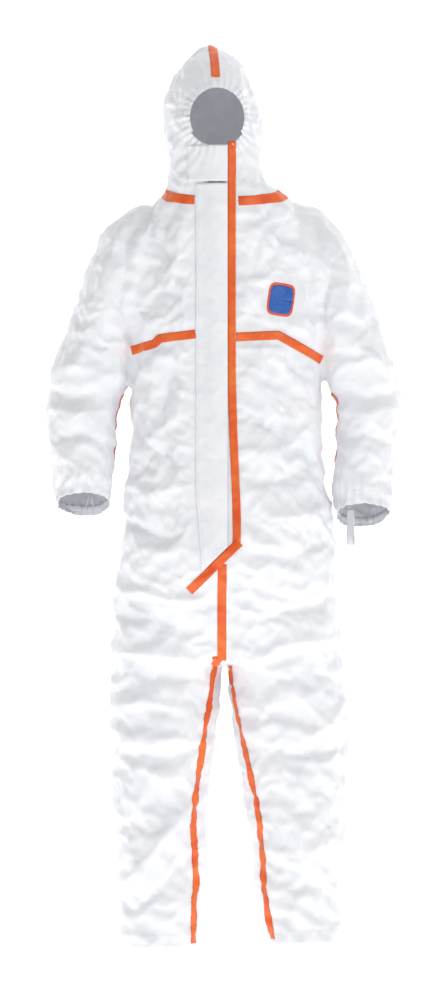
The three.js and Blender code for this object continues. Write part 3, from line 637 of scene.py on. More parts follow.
BACK_FOLDS = [
    ([(-150, 1010), (-70, 1026), (40, 1022), (140, 1012)], 12, -9),
    ([(-150, 980), (-60, 990), (60, 992), (150, 975)], 12, 6),
    ([(-160, 1050), (-60, 1062), (60, 1060), (160, 1046)], 12, 6),
    ([(-90, 1440), (-130, 1340), (-140, 1240)], 13, -6),
    ([(80, 1440), (120, 1340), (140, 1240)], 13, -6),
    ([(-178, 1400), (-190, 1300), (-184, 1130)], 14, -12),
    ([(178, 1400), (190, 1300), (188, 1140)], 14, -12),
    ([(-60, 1420), (-50, 1300), (-70, 1180)], 12, 4),
    ([(60, 1420), (40, 1300), (60, 1180)], 12, 4),
    ([(-190, 860), (-120, 800), (-40, 790)], 13, 7),
    ([(190, 860), (120, 810), (30, 790)], 13, 7),
    ([(-190, 760), (-110, 720), (-40, 716)], 13, -6),
    ([(190, 740), (110, 720), (30, 706)], 13, -6),
    ([(-200, 660), (-120, 640), (-40, 612)], 13, 7),
    ([(200, 660), (120, 640), (30, 612)], 13, 7),
    ([(-205, 450), (-130, 432), (-50, 446)], 12, -10),
    ([(-205, 410), (-130, 396), (-50, 404)], 12, 8),
    ([(-205, 480), (-130, 476), (-50, 484)], 12, 7),
    ([(212, 450), (130, 432), (50, 446)], 12, -10),
    ([(212, 410), (130, 396), (50, 404)], 12, 8),
    ([(212, 480), (130, 476), (50, 484)], 12, 7),
    ([(-200, 180), (-130, 240), (-70, 250)], 13, 6),
    ([(215, 160), (150, 220), (90, 240)], 13, 6),
    ([(-330, 1080), (-280, 1070), (-230, 1082)], 11, 7),
    ([(330, 1080), (280, 1070), (230, 1082)], 11, 7),
]
FOLD_GAIN = 1.5


def fold_relief(points):
    """How far the named folds lift the cloth at each point."""
    flat = points[:, [0, 2]]
    wander = np.column_stack([noise(points / 60, 5), noise(points / 60, 6)]) * 9
    relief = np.zeros(len(points))
    for folds, side in ((FRONT_FOLDS, -1), (BACK_FOLDS, 1)):
        facing = FOLD_GAIN * ease(side * (points[:, 1] - 4), -12, 22)
        for path, reach, depth in folds:
            near = facing > 0
            gap, along = path_distance(flat[near] + wander[near], path)
            crest = np.exp(-((gap / reach) ** 1.35)) * np.clip(np.sin(math.pi * (0.12 + 0.76 * along)), 0, 1)
            relief[near] += depth * crest * facing[near]
    return relief


def crumple(points):
    """Small sharp crinkles all over, finer on the chest and larger down the legs."""
    slanted = points @ np.array([[1, 0.15, 0.35], [0, 1, 0.2], [-0.3, 0.1, 1.0]])
    broad = 1 - 2 * np.abs(noise(slanted / np.array([95, 95, 62]), 11))
    sharp = 1 - 2.4 * np.abs(noise(slanted / np.array([46, 46, 34]), 12))
    fine = 1 - 2.4 * np.abs(noise(points / 21, 13))
    level = ease(-points[:, 2], -1000, -300)
    return (3.2 + 2.2 * level) * broad + (2.4 + 1.2 * level) * sharp + 0.9 * fine


def seam_calm(points):
    """1 away from the seams, less where tape or the zip holds the cloth flat."""
    x, y, z = points.T
    calm = np.ones(len(points))
    front = ease(-y, 20, 70)
    placket = ease(np.abs(x - ZIP_X + 8), 34, 66)
    calm *= 1 - (1 - placket) * front * ease(z, 740, 790)
    calm *= 0.55 + 0.45 * ease(np.abs(x - BACK_TAPE_X), 10, 34)
    gap, _ = path_distance(points[:, [0, 2]], CHEST_SEAM)
    calm *= 0.55 + 0.45 * ease(gap, 10, 30)
    neck = (points - NECK_FRONT) @ NECK_NORMAL
    calm *= 0.5 + 0.5 * ease(np.abs(neck), 8, 26)
    badge = np.hypot((x - BADGE["x"]) / BADGE["width"], (z - BADGE["z"]) / BADGE["height"])
    calm *= 1 - 0.8 * front * (1 - ease(badge, 0.5, 0.9))
    return calm


def face_shape(points):
    """Distance outside the face opening's edge, seen from the front, in millimetres."""
    x = points[:, 0] - FACE["x"]
    z = points[:, 2] - FACE["z"]
    wide = np.where(z < -30, 1.12, 1.0)
    ring = (np.hypot(x / (FACE["half_width"] * wide), z / FACE["half_height"]) - 1) * FACE["half_width"]
    return np.maximum(ring, FACE["bottom"] - points[:, 2])


def gathers(points):
    """Pleats that the elastic pulls up round the face opening and the cuffs."""
    x, y, z = points.T
    relief = np.zeros(len(points))
    edge = face_shape(points)
    turn = np.arctan2(z - FACE["z"], x - FACE["x"])
    wave = np.sin(34 * turn + 2.2 * noise(points / 30, 21)) * (1 + 0.5 * noise(points / 14, 22))
    near = (y < -20) & (edge > -12)
    relief += np.where(near, 2.6 * wave * np.exp(-np.maximum(edge, 0) / 24), 0)
    for name in SIDES:
        gap = -(points - np.array([0, CUFF_FRONT_Y, CUFF_FRONT_Z[name]])) @ CUFF_NORMAL
        limb = (SIGN[name] * x > 200) & (z < ELBOW_Z)
        turn = np.arctan2(y + 30, x - SIGN[name] * 274)
        wave = np.sin(22 * turn + 2.0 * noise(points / 26, 23)) * (1 + 0.5 * noise(points / 16, 24))
        pull = 3.0 * wave * np.exp(-np.abs(gap - 18) / 22) - 3.0 * np.exp(-((gap - 14) / 9) ** 2)
        relief += np.where(limb, pull, 0)
    return relief


def applied(obj):
    """Makes an object's modifiers part of its mesh."""
    mesh = bpy.data.meshes.new_from_object(obj.evaluated_get(bpy.context.evaluated_depsgraph_get()))
    obj.modifiers.clear()
    obj.data = mesh
    return obj


def remeshed(obj, voxel):
    """The union of an object's closed parts, as one even skin."""
    modifier = obj.modifiers.new("skin", "REMESH")
    modifier.mode = "VOXEL"
    modifier.voxel_size = voxel * MM
    modifier.use_smooth_shade = True
    return applied(obj)


def relax(mesh, rounds, factor=0.5):
    """Evens out a mesh's points a little."""
    body = bmesh.new()
    body.from_mesh(mesh)
    for _ in range(rounds):
        bmesh.ops.smooth_vert(
            body, verts=body.verts, factor=factor, use_axis_x=True, use_axis_y=True, use_axis_z=True
        )
    body.to_mesh(mesh)
    body.free()


# A light cloth, stiff for its weight, that the form under it holds loosely.
CLOTH_SETTINGS = {
    "quality": 3,
    "mass": 0.05,
    "tension_stiffness": 18,
    "compression_stiffness": 18,
    "shear_stiffness": 10,
    "bending_stiffness": 1.6,
    "air_damping": 2.0,
    "vertex_group_mass": "held",
    "pin_stiffness": 0.6,
}
GRAVITY_SHARE = 0.25
LEAST_HOLD = 0.04
MOST_MOVED = 13.0


def settle(obj, frames, growth):
    """Lets the cloth buckle as slack cloth does, held loosely to the form it hangs on."""
    start = coords(obj.data)
    group = obj.vertex_groups.new(name="held")
    calm = seam_calm(start)
    hold = np.clip(0.05 + 0.9 * (1 - calm), 0, 1)
    for level in np.unique(np.round(hold, 1)):
        chosen = np.nonzero(np.round(hold, 1) == level)[0]
        group.add(chosen.tolist(), float(max(level, LEAST_HOLD)), "REPLACE")
    modifier = obj.modifiers.new("Cloth", "CLOTH")
    cloth = modifier.settings
    for setting, value in CLOTH_SETTINGS.items():
        setattr(cloth, setting, value)
    cloth.shrink_min = -growth
    cloth.effector_weights.gravity = GRAVITY_SHARE
    modifier.collision_settings.use_collision = False
    modifier.collision_settings.use_self_collision = False
    scene = bpy.context.scene
    others = [other for other in scene.objects if other is not obj and not other.hide_viewport]
    for other in others:
        other.hide_viewport = True
    for step in range(1, frames + 1):
        scene.frame_set(step)
    mesh = bpy.data.meshes.new_from_object(obj.evaluated_get(bpy.context.evaluated_depsgraph_get()))
    scene.frame_set(1)
    for other in others:
        other.hide_viewport = False
    obj.modifiers.clear()
    obj.vertex_groups.clear()
    obj.data = mesh
    moved = coords(mesh) - start
    size = np.linalg.norm(moved, axis=1, keepdims=True)
    moved *= np.minimum(1, MOST_MOVED / np.maximum(size, 1e-6))
    set_coords(mesh, start + moved)


def subdivide(obj):
    """Splits each face in four, rounded."""
    modifier = obj.modifiers.new("finer", "SUBSURF")
    modifier.levels = 1
    modifier.render_levels = 1
    applied(obj)


def make_cloth(voxel, growth, frames):
    """The whole garment as one closed skin with its folds, which every piece is cut from."""
    points, faces, count = [], [], 0
    for stations in [TORSO, HOOD, *SLEEVE.values(), *LEG.values()]:
        some, corners = tube(stations)
        faces += [[i + count for i in face] for face in corners]
        points.append(some)
        count += len(some)
    skin = remeshed(new_object("garment_skin", np.vstack(points), faces), voxel)
    relax(skin.data, 4)
    place = coords(skin.data)
    out = normals(skin.data)
    lift = (fold_relief(place) + crumple(place)) * seam_calm(place)
    set_coords(skin.data, place + out * lift[:, None])
    relax(skin.data, 1, 0.3)
    settle(skin, frames, growth)
    subdivide(skin)
    place = coords(skin.data)
    relief = gathers(place) + creases(place) * (0.35 + 0.65 * seam_calm(place))
    set_coords(skin.data, place + normals(skin.data) * relief[:, None])
    work["skin"] = skin
    work["tree"] = BVHTree.FromPolygons(
        coords(skin.data).tolist(), [list(face.vertices) for face in skin.data.polygons]
    )
    bpy.context.scene.collection.objects.unlink(skin)


def creases(points):
    """Sharp paper creases, where straight facets of the stiff cloth meet."""
    bent = points + 14 * np.column_stack([noise(points / 40, seed) for seed in (31, 32, 33)])
    relief = np.zeros(len(points))
    for angle, seed in ((0.5, 41), (-0.6, 42), (1.3, 43)):
        across = bent[:, 0] * math.cos(angle) + bent[:, 2] * math.sin(angle)
        stretched = np.column_stack([across / 26, bent[:, 1] / 60, bent[:, 2] * math.cos(angle) / 90])
        relief += (0.5 - 2 * np.abs(noise(stretched, seed))) * 1.5
    return relief


# ------------------------------------------------------------------ cutting the pieces


def cut_piece(name, planes, limb=None, open_front=False, open_face=False):
    """A copy of the cloth behind every plane given as a point and a normal."""
    skin = work["skin"].data
    place = coords(skin)
    corners = np.zeros(len(skin.loops), int)
    skin.loops.foreach_get("vertex_index", corners)
    corners = corners.reshape(-1, 4)
    near = np.ones(len(place), bool)
    for point, normal in planes:
        near &= (place - np.array(point)) @ np.array(normal) < 14
    faces = corners[near[corners].all(axis=1)]
    used, faces = np.unique(faces, return_inverse=True)
    obj = new_object(name, place[used], faces.reshape(-1, 4))
    body = bmesh.new()
    body.from_mesh(obj.data)
    for point, normal in planes:
        geometry = body.verts[:] + body.edges[:] + body.faces[:]
        bmesh.ops.bisect_plane(
            body, geom=geometry, plane_co=to_frame(point), plane_no=normal, clear_outer=True, dist=1e-6
        )
    if limb:
        keep_island(body, limb)
    if open_front:
        open_slot(body)
    if open_face:
        open_hood(body)
    body.to_mesh(obj.data)
    body.free()
    return obj


def keep_island(body, wanted):
    """Keeps the connected part whose middle passes a test in millimetres."""
    body.verts.ensure_lookup_table()
    seen = set()
    for first in body.verts[:]:
        if first in seen:
            continue
        island, front = {first}, [first]
        while front:
            vert = front.pop()
            for edge in vert.link_edges:
                other = edge.other_vert(vert)
                if other not in island:
                    island.add(other)
                    front.append(other)
        seen |= island
        centre = np.mean([vert.co for vert in island], axis=0) / MM - ORIGIN
        if not wanted(centre):
            bmesh.ops.delete(body, geom=list(island), context="VERTS")


def open_slot(body):
    """Cuts the straight opening that the zip is sewn into."""
    low, high = ZIP_LOW[1] - 4, ZIP_HIGH[1] + 60
    cuts = [
        ((ZIP_X - SLOT_HALF, 0, 0), (1, 0, 0)),
        ((ZIP_X + SLOT_HALF, 0, 0), (1, 0, 0)),
        ((0, 0, low), (0, 0, 1)),
    ]

    def inside(centre, margin):
        x, y, z = np.array(centre) / MM - ORIGIN
        return y < -55 and abs(x - ZIP_X) < SLOT_HALF + margin and low - margin < z < high

    for point, normal in cuts:
        faces = [face for face in body.faces if inside(face.calc_center_median(), 14)]
        verts = list({v for f in faces for v in f.verts})
        edges = list({e for f in faces for e in f.edges})
        geometry = faces + verts + edges
        bmesh.ops.bisect_plane(body, geom=geometry, plane_co=to_frame(point), plane_no=normal, dist=1e-6)
    gone = [face for face in body.faces if inside(face.calc_center_median(), 0)]
    bmesh.ops.delete(body, geom=gone, context="FACES")


def open_hood(body):
    """Cuts the face opening and draws its rim onto a smooth curve."""

    def outside(points):
        return face_shape(np.atleast_2d(points) / MM - ORIGIN)

    faces = [f for f in body.faces if f.calc_center_median().y / MM - ORIGIN[1] < -20]
    gaps = outside(np.array([f.calc_center_median() for f in faces]))
    gone = [face for face, gap in zip(faces, gaps) if gap < 0]
    bmesh.ops.delete(body, geom=gone, context="FACES")
    rim = [v for v in body.verts if v.is_boundary and v.co.y / MM - ORIGIN[1] < -20]
    for _ in range(3):
        where = np.array([v.co for v in rim])
        gap = outside(where)
        ahead = outside(where + np.array([MM, 0, 0])) - gap
        up = outside(where + np.array([0, 0, MM])) - gap
        size = ahead**2 + up**2 + 1e-9
        near = np.abs(gap) < 9
        for vert, ok, g, a, u, n in zip(rim, near, gap, ahead, up, size):
            if ok:
                vert.co.x -= g * a / n * MM
                vert.co.z -= g * u / n * MM


def walled(obj, thickness, side, *finishes):
    """Gives a sheet its thickness on one side, and its finishes: first face, then inner face."""
    for finish in finishes:
        obj.data.materials.append(materials[finish])
    modifier = obj.modifiers.new("thickness", "SOLIDIFY")
    modifier.thickness = thickness * MM
    modifier.offset = side
    modifier.material_offset = len(finishes) - 1
    return applied(obj)


def hide_joins(obj):
    """Shades the points on a cut as the uncut cloth, so that a join without a seam doesn't show."""
    mesh = obj.data
    place = coords(mesh)
    wanted = np.zeros((len(place), 3))
    skin = work["skin"].data
    shading = normals(skin)
    skin_place = coords(skin)
    heights = (ARM_CUT_Z, LEG_CUT_Z)
    joins = [abs(place[:, 2] - height) < 0.02 for height in heights] + [abs(place[:, 0] - CENTRE_X) < 0.02]
    for index in np.nonzero(np.any(joins, axis=0))[0]:
        _, _, face, gap = work["tree"].find_nearest(Vector(place[index]))
        if face is None or gap > 0.05:
            continue
        corners = list(skin.polygons[face].vertices)
        weight = 1 / (np.linalg.norm(skin_place[corners] - place[index], axis=1) + 0.01)
        blended = weight @ shading[corners]
        wanted[index] = blended / np.linalg.norm(blended)
    mesh.normals_split_custom_set_from_vertices(wanted.tolist())


def blend_arm(obj):
    """Makes the object's place part of its mesh."""
    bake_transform(obj)


def blend_down(obj, upper, lower, high, low):
    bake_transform(obj)


def cloth_piece(obj, pattern, rests_on, *nodes):
    """Finishes a cut piece of cloth with its thickness, finishes and shading at the cuts, and hides the
    frame's nodes.
    """
    walled(obj, CLOTH_THICKNESS, INWARDS, "shell", "lining")
    hide_joins(obj)
    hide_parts(*nodes)


def make_pieces():
    """Cuts the hood, upper panels, trunk panels, sleeves and legs from the one skin."""
    neck = tuple(NECK_FRONT)
    above_neck = (neck, tuple(-NECK_NORMAL))
    below_neck = (neck, tuple(NECK_NORMAL))
    hood = cut_piece("hood", [above_neck], open_front=True, open_face=True)
    cloth_piece(hood, "hood", ["neck_tape"], "hood_left", "hood_right")
    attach(hood, "root")
    for side in SIDES:
        sign = SIGN[side]
        own_half = ((CENTRE_X, 0, 0), (-sign, 0, 0))
        upper = cut_piece(
            f"upper_{side}", [below_neck, own_half, ((0, 0, ARM_CUT_Z), DOWN)], open_front=True
        )
        cloth_piece(upper, "upper", ["hood"], f"yoke_{side}", f"upper_sleeve_{side}")
        blend_arm(upper)
        trunk_planes = [own_half, ((0, 0, ARM_CUT_Z), UP), ((0, 0, LEG_CUT_Z), DOWN)]
        trunk = cut_piece(
            f"trunk_{side}", trunk_planes, limb=lambda centre: abs(centre[0]) < 175, open_front=True
        )
        nodes = [f"body_{side}", f"thigh_{side}"] + (["crotch_gusset"] if side == "right" else [])
        cloth_piece(trunk, "trunk", [f"upper_{side}"], *nodes)
        blend_arm(trunk)
        cuff_point = (0, CUFF_FRONT_Y, CUFF_FRONT_Z[side])
        sleeve_planes = [
            ((0, 0, ARM_CUT_Z), UP),
            (cuff_point, tuple(CUFF_NORMAL)),
            ((sign * 150, 0, 0), (-sign, 0, 0)),
        ]
        sleeve = cut_piece(f"sleeve_{side}", sleeve_planes, limb=lambda centre: abs(centre[0]) > 205)
        cloth_piece(sleeve, "sleeve", [f"upper_{side}"], f"forearm_{side}", f"cuff_{side}")
        blend_down(sleeve, f"upper_sleeve_{side}", f"forearm_{side}", *ELBOW_BLEND)
        leg_planes = [((0, 0, LEG_CUT_Z), UP), ((0, 0, HEM_Z[side]), DOWN), own_half_of_legs(side)]
        leg = cut_piece(f"leg_{side}", leg_planes)
        cloth_piece(leg, "leg", [f"trunk_{side}"], f"shin_{side}", f"hem_{side}")
        blend_down(leg, "root", f"shin_{side}", *KNEE_BLEND)


def own_half_of_legs(side):
    """A plane between the legs, which keeps one leg."""
    return ((CENTRE_X + 8, 0, 0), (-SIGN[side], 0, 0))


# ------------------------------------------------------------------ what lies on the cloth


def on_cloth(origin, direction, height):
    """The point where a ray meets the cloth, lifted off it by a height."""
    hit, normal, _, _ = work["tree"].ray_cast(Vector(origin), Vector(direction).normalized())
    if hit is None:
        hit, normal, _, _ = work["tree"].find_nearest(Vector(origin))
    return np.array(hit + normal * height)


def on_front(x, z, height):
    """The point on the front of the cloth at x and z, lifted off it by a height."""
    return on_cloth((x, -RAY_START, z), (0, 1, 0), height)


def from_inside(centre, angle, tilt, height):
    """The point where a ray from inside a limb meets the cloth, at a height off it."""
    outwards = np.array([math.cos(angle), math.sin(angle), -math.sin(angle) * math.tan(tilt)])
    hit, normal, _, _ = work["tree"].ray_cast(Vector(centre), Vector(outwards))
    return np.array(hit + normal * height)


def round_face(turn, grow, height):
    """A point on the cloth round the face opening, a distance outside its edge."""
    x = FACE["x"] + (FACE["half_width"] + grow) * math.cos(turn)
    z = FACE["z"] + (FACE["half_height"] + grow) * math.sin(turn)
    return on_front(x, z, height)


def grid_object(name, rows, outward):
    """A strip of quads through rows of points, facing outwards."""
    count = len(rows[0])
    points = np.array(rows).reshape(-1, 3)
    faces = []
    for r in range(len(rows) - 1):
        for c in range(count - 1):
            i = r * count + c
            faces.append([i, i + 1, i + count + 1, i + count])
    first = points[[faces[0][0], faces[0][1], faces[0][3]]]
    if np.cross(first[1] - first[0], first[2] - first[0]) @ np.array(outward) < 0:
        faces = [face[::-1] for face in faces]
    return new_object(name, points, faces)


def along_path(path, step):
    """Points, directions and lengths at even steps along a bent path in the plane."""
    path = np.array(path, float)
    lengths = np.linalg.norm(np.diff(path, axis=0), axis=1)
    ends = np.concatenate([[0], np.cumsum(lengths)])
    at = np.linspace(0, ends[-1], max(2, int(ends[-1] / step) + 1))
    points = np.column_stack([np.interp(at, ends, path[:, k]) for k in range(path.shape[1])])
    ahead = np.gradient(points, axis=0)
    return points, ahead / np.linalg.norm(ahead, axis=1, keepdims=True)


def strip_on_cloth(name, path, width, facing, height=TAPE_HEIGHT):
    """A strip laid on the front (facing -1) or the back (facing 1) along x and z points."""
    points, ahead = along_path(path, ROW_STEP)
    rows = []
    for (x, z), (dx, dz) in zip(points, ahead):
        row = []
        for across in np.linspace(-width / 2, width / 2, TAPE_ACROSS):
            origin = (x - dz * across, facing * RAY_START, z + dx * across)
            row.append(on_cloth(origin, (0, -facing, 0), height))
        rows.append(row)
    return grid_object(name, rows, (0, facing, 0))


def finish_strip(
    obj, width, length, finish, slot, nodes, thickness=TAPE_THICKNESS, held="laid", rests_on=()
):
    """Gives a strip its thickness and finish, and hides the frame's nodes that it replaces."""
    walled(obj, thickness, OUTWARDS, finish)
    if nodes:
        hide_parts(*nodes)
    return obj


def path_length(path):
    return float(np.linalg.norm(np.diff(np.array(path, float), axis=0), axis=1).sum())


# Middle lines of the tapes, as x and z.
FRONT_TAPE = [(11, 1562), (11, 1110), (14, 1000), (20, 860), (21, 800), (20, 782)]
FLAP_END_TAPE = [(26, 786), (-20, 742), (-71, 692)]
CROTCH_TAPE = [(-7, 744), (-8, 680), (-8, 557)]
BACK_TAPE = [(BACK_TAPE_X, 1418), (BACK_TAPE_X, 1190)]
SEAT_TAPE = [(BACK_TAPE_X, 1186), (BACK_TAPE_X, 1000), (BACK_TAPE_X, 558)]
CHEST_TAPE = {
    "left": [(-184, 1158), (-138, 1170), (-128, 1180), (-59, 1188)],
    "right": [(20, 1182), (101, 1186), (186, 1140)],
}
INSEAM = {
    "left": [
        (-18, 565), (-27, 507), (-41, 419), (-50, 361), (-58, 302),
        (-64, 235), (-61, 190), (-58, 127), (-62, 90), (-63, 6),
    ],
    "right": [
        (8, 545), (13, 500), (22, 448), (42, 361), (55, 302),
        (65, 244), (70, 190), (74, 120), (80, 68), (91, 14),
    ],
}
LEG_MIDDLE_Y = 4.0

# The sleeve's tape is found from the sleeve's middle, towards the trunk, at these depths.
SLEEVE_TAPE_TOP = 1076.0
SLEEVE_MIDDLE_X = 272.0
SLEEVE_TAPE_DEPTHS = (-17.0, 0.0)

# The neck's tape: the middle of its ring, the degrees that it covers, and its length as cut.
NECK_RING = (-16.0, -14.0, NECK_FRONT[2] + 23)
NECK_TURNS = (-69.0, 246.5)
NECK_RAY = 420.0
NECK_LENGTH = 640.0
TURN_STEP = 2.0

# The hood's tape: the middle of its arc, the degrees that it covers, and its length as cut.
HOOD_TAPE_X = -26.0
HOOD_TAPE_FRONT = 6.0
HOOD_MIDDLE_Z = 1600.0
HOOD_TURNS = (48.0, -88.0)
HOOD_LENGTH = 420.0


def ring_rows(centre, angles, lean, height, width):
    """Rows of points round a centre, on a band that leans like the neck seam."""
    rows = []
    for angle in angles:
        outwards = np.array([math.cos(angle), math.sin(angle), math.sin(angle) * math.tan(lean)])
        row = []
        for across in np.linspace(-width / 2, width / 2, TAPE_ACROSS):
            start = np.array(centre) + outwards * NECK_RAY + NECK_NORMAL * across
            row.append(on_cloth(start, -outwards, height))
        rows.append(row)
    return rows


def inseam_rows(side):
    """Rows along the inside of a leg, which follow the cloth round from the front."""
    points, _ = along_path(INSEAM[side], ROW_STEP)
    leg = LEG[side]
    inner, past = (0, 0.12) if side == "left" else (-math.pi, math.pi - 0.12)
    rows = []
    for x, z in points:
        middle_x = np.interp(z, [row[0] for row in leg], [(row[1] + row[2]) / 2 for row in leg])
        line = []
        for angle in np.append(np.linspace(-math.pi / 2, inner, 90), past):
            outwards = np.array([math.cos(angle), math.sin(angle), 0])
            start = np.array([middle_x, LEG_MIDDLE_Y, z])
            hit, normal, _, _ = work["tree"].ray_cast(Vector(start), Vector(outwards))
            missed = start + outwards * 90
            line.append(np.array(hit) + np.array(normal) * TAPE_HEIGHT if hit else missed)
        line = np.array(line)
        reach = np.concatenate([[0], np.cumsum(np.linalg.norm(np.diff(line, axis=0), axis=1))])
        first = np.nonzero(SIGN[side] * (line[:, 0] - x) <= 0)[0]
        at = reach[first[0]] if len(first) else reach[-1] - TAPE_WIDTH / 2
        at = min(at, reach[-1] - TAPE_WIDTH / 2 - 1)
        wanted = np.linspace(at - TAPE_WIDTH / 2, at + TAPE_WIDTH / 2, TAPE_ACROSS)
        rows.append([[np.interp(w, reach, line[:, k]) for k in range(3)] for w in wanted])
    return rows


def tape_piece(obj, length, nodes, width=TAPE_WIDTH, rests_on=()):
    return finish_strip(obj, width, length, "tape", "seam_tape", nodes, rests_on=rests_on)


def straight_tape(name, path, facing, node, height=TAPE_HEIGHT, width=TAPE_WIDTH, rests_on=()):
    """A tape along x and z points that doesn't cross a joint."""
    strip = strip_on_cloth(name, path, width, facing, height)
    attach(tape_piece(strip, path_length(path), [node], width, rests_on), "root")


def sleeve_rows(side):
    """Rows down the underside of a sleeve, next to the trunk."""
    sign = SIGN[side]
    depths = np.linspace(*SLEEVE_TAPE_DEPTHS, TAPE_ACROSS)
    return [
        [on_cloth((sign * SLEEVE_MIDDLE_X, y, z), (-sign, 0, 0), TAPE_HEIGHT) for y in depths]
        for z in np.arange(SLEEVE_TAPE_TOP, CUFF_FRONT_Z[side] + ROW_STEP, -ROW_STEP)
    ]


def hood_row(angle):
    """One row of the hood's centre tape: 0 is straight up, positive leans to the front."""
    outwards = np.array([0, -math.sin(angle), math.cos(angle)])
    x = HOOD_TAPE_X + HOOD_TAPE_FRONT * ease(np.array(math.degrees(angle)), 0, 50)
    return [
        on_cloth(np.array([x + across, 0, HOOD_MIDDLE_Z]) + outwards * RAY_START, -outwards, TAPE_HEIGHT)
        for across in np.linspace(-TAPE_WIDTH / 2, TAPE_WIDTH / 2, TAPE_ACROSS)
    ]


def make_tapes():
    """Lays a tape over each seam, in the order in which they overlap."""
    trunk = trunk_names()
    over_flap = FLAP_LIFT + OVER_FLAP
    straight_tape("front_seam_tape", FRONT_TAPE, -1, "front_tape", over_flap, FRONT_TAPE_WIDTH, trunk)
    above_front = TAPE_HEIGHT + OVER_FLAP
    straight_tape("flap_end_seam_tape", FLAP_END_TAPE, -1, "flap_end_tape", above_front, rests_on=trunk)
    straight_tape("crotch_seam_tape", CROTCH_TAPE, -1, "crotch_tape", rests_on=trunk)
    straight_tape("back_seam_tape", BACK_TAPE, 1, "back_tape")
    straight_tape("seat_seam_tape", SEAT_TAPE, 1, "seat_tape")
    for side, path in CHEST_TAPE.items():
        sign = SIGN[side]
        strip = strip_on_cloth(f"chest_seam_tape_{side}", path, TAPE_WIDTH, -1)
        tape_piece(strip, path_length(path), [f"chest_tape_{side}"], rests_on=[f"upper_{side}"])
        blend_arm(strip)
        half = [(BACK_TAPE_X, 1186), (sign * 100, 1182), (sign * 178, 1154)]
        name = f"back_chest_seam_tape_{side}"
        strip = strip_on_cloth(name, half, TAPE_WIDTH, 1, TAPE_HEIGHT + OVER_TAPE)
        nodes = ["chest_tape_back"] if side == "left" else []
        tape_piece(strip, path_length(half), nodes, rests_on=[f"upper_{side}"])
        blend_arm(strip)
        strip = grid_object(f"inseam_seam_tape_{side}", inseam_rows(side), (-sign, -0.4, 0))
        nodes = [f"inseam_tape_thigh_{side}", f"inseam_tape_shin_{side}"]
        tape_piece(strip, path_length(INSEAM[side]), nodes, rests_on=[f"leg_{side}"])
        blend_down(strip, "root", f"shin_{side}", *KNEE_BLEND)
        rows = sleeve_rows(side)
        strip = grid_object(f"sleeve_seam_tape_{side}", rows, (-sign, 0, 0))
        nodes = [f"sleeve_tape_upper_{side}", f"sleeve_tape_forearm_{side}"]
        tape_piece(strip, ROW_STEP * len(rows), nodes, rests_on=[f"sleeve_{side}"])
        blend_down(strip, f"upper_sleeve_{side}", f"forearm_{side}", *ELBOW_BLEND)
    angles = np.radians(np.arange(*NECK_TURNS, TURN_STEP))
    rows = ring_rows(NECK_RING, angles, NECK_TILT, TAPE_HEIGHT, TAPE_WIDTH)
    neck = grid_object("neck_seam_tape", rows, (1, -2, 0))
    nodes = ["neck_tape_left", "neck_tape_right", "neck_tape_back"]
    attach(tape_piece(neck, NECK_LENGTH, nodes, rests_on=["hood"]), "root")
    rows = [hood_row(angle) for angle in np.radians(np.arange(*HOOD_TURNS, -TURN_STEP))]
    hood = grid_object("hood_seam_tape", rows, (0, -0.5, 1))
    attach(tape_piece(hood, HOOD_LENGTH, ["hood_tape"], rests_on=["hood"]), "root")


# The flaps: the edge that they are sewn at, their heights, and how they lie over the zip.
FLAP_HINGE_X = 3.0
FLAP_SLANT = 0.99
FLAP_ACROSS = 26
ZIP_BULGE = 5.2
STORM_FLAP = {"low": 778.0, "high": 1480.0, "width": 64.0, "length": 724.0}
CHIN_FLAP = {"low": 1484.0, "high": 1554.0, "edge": -74.0, "width": 88.0, "length": 70.0}
CHIN_LIFT = 0.4
ADHESIVE_WIDTH = 10.0


def flap_rows(edge, z_from, z_to, height, slant=0.0):
    """Rows of a flap that lies on the cloth and swells over the zip, up to its free edge."""
    rows = []
    for u in np.linspace(0, 1, int((z_to - z_from) / ROW_STEP)):
        row = []
        for t in np.linspace(0, 1, FLAP_ACROSS):
            x = FLAP_HINGE_X + t * (edge(z_from + u * (z_to - z_from)) - FLAP_HINGE_X)
            low = z_from + slant * (x - FLAP_HINGE_X)
            z = low + u * (z_to - low)
            swell = ZIP_BULGE * float(ease(np.array(20.0 - abs(x - ZIP_X)), -12, 16))
            place = np.array([[x, 0, z]])
            ripple = 0.6 + 0.5 * float(noise(place / 34, 51)[0]) + 0.3 * float(creases(place)[0])
            row.append(on_front(x, z, 0) + np.array([0, -(height + swell + max(ripple, 0.1)), 0]))
        rows.append(row)
    return rows


def storm_edge(z):
    """X of the storm flap's free edge, which narrows towards its lower end."""
    return -58 + 11 * float(ease(np.array(-z), -960, -760))


def chin_edge(z):
    return CHIN_FLAP["edge"]


def make_flap(body, sizes, rows):
    """A flap's cloth, sewn beneath the front tape."""
    cloth = grid_object(f"{body}_cloth", rows, (0, -1, 0))
    size = (sizes["width"], sizes["length"])
    finish_strip(cloth, *size, "shell", "shell", [body], CLOTH_THICKNESS, "hung", ["front_seam_tape"])
    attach(cloth, body)


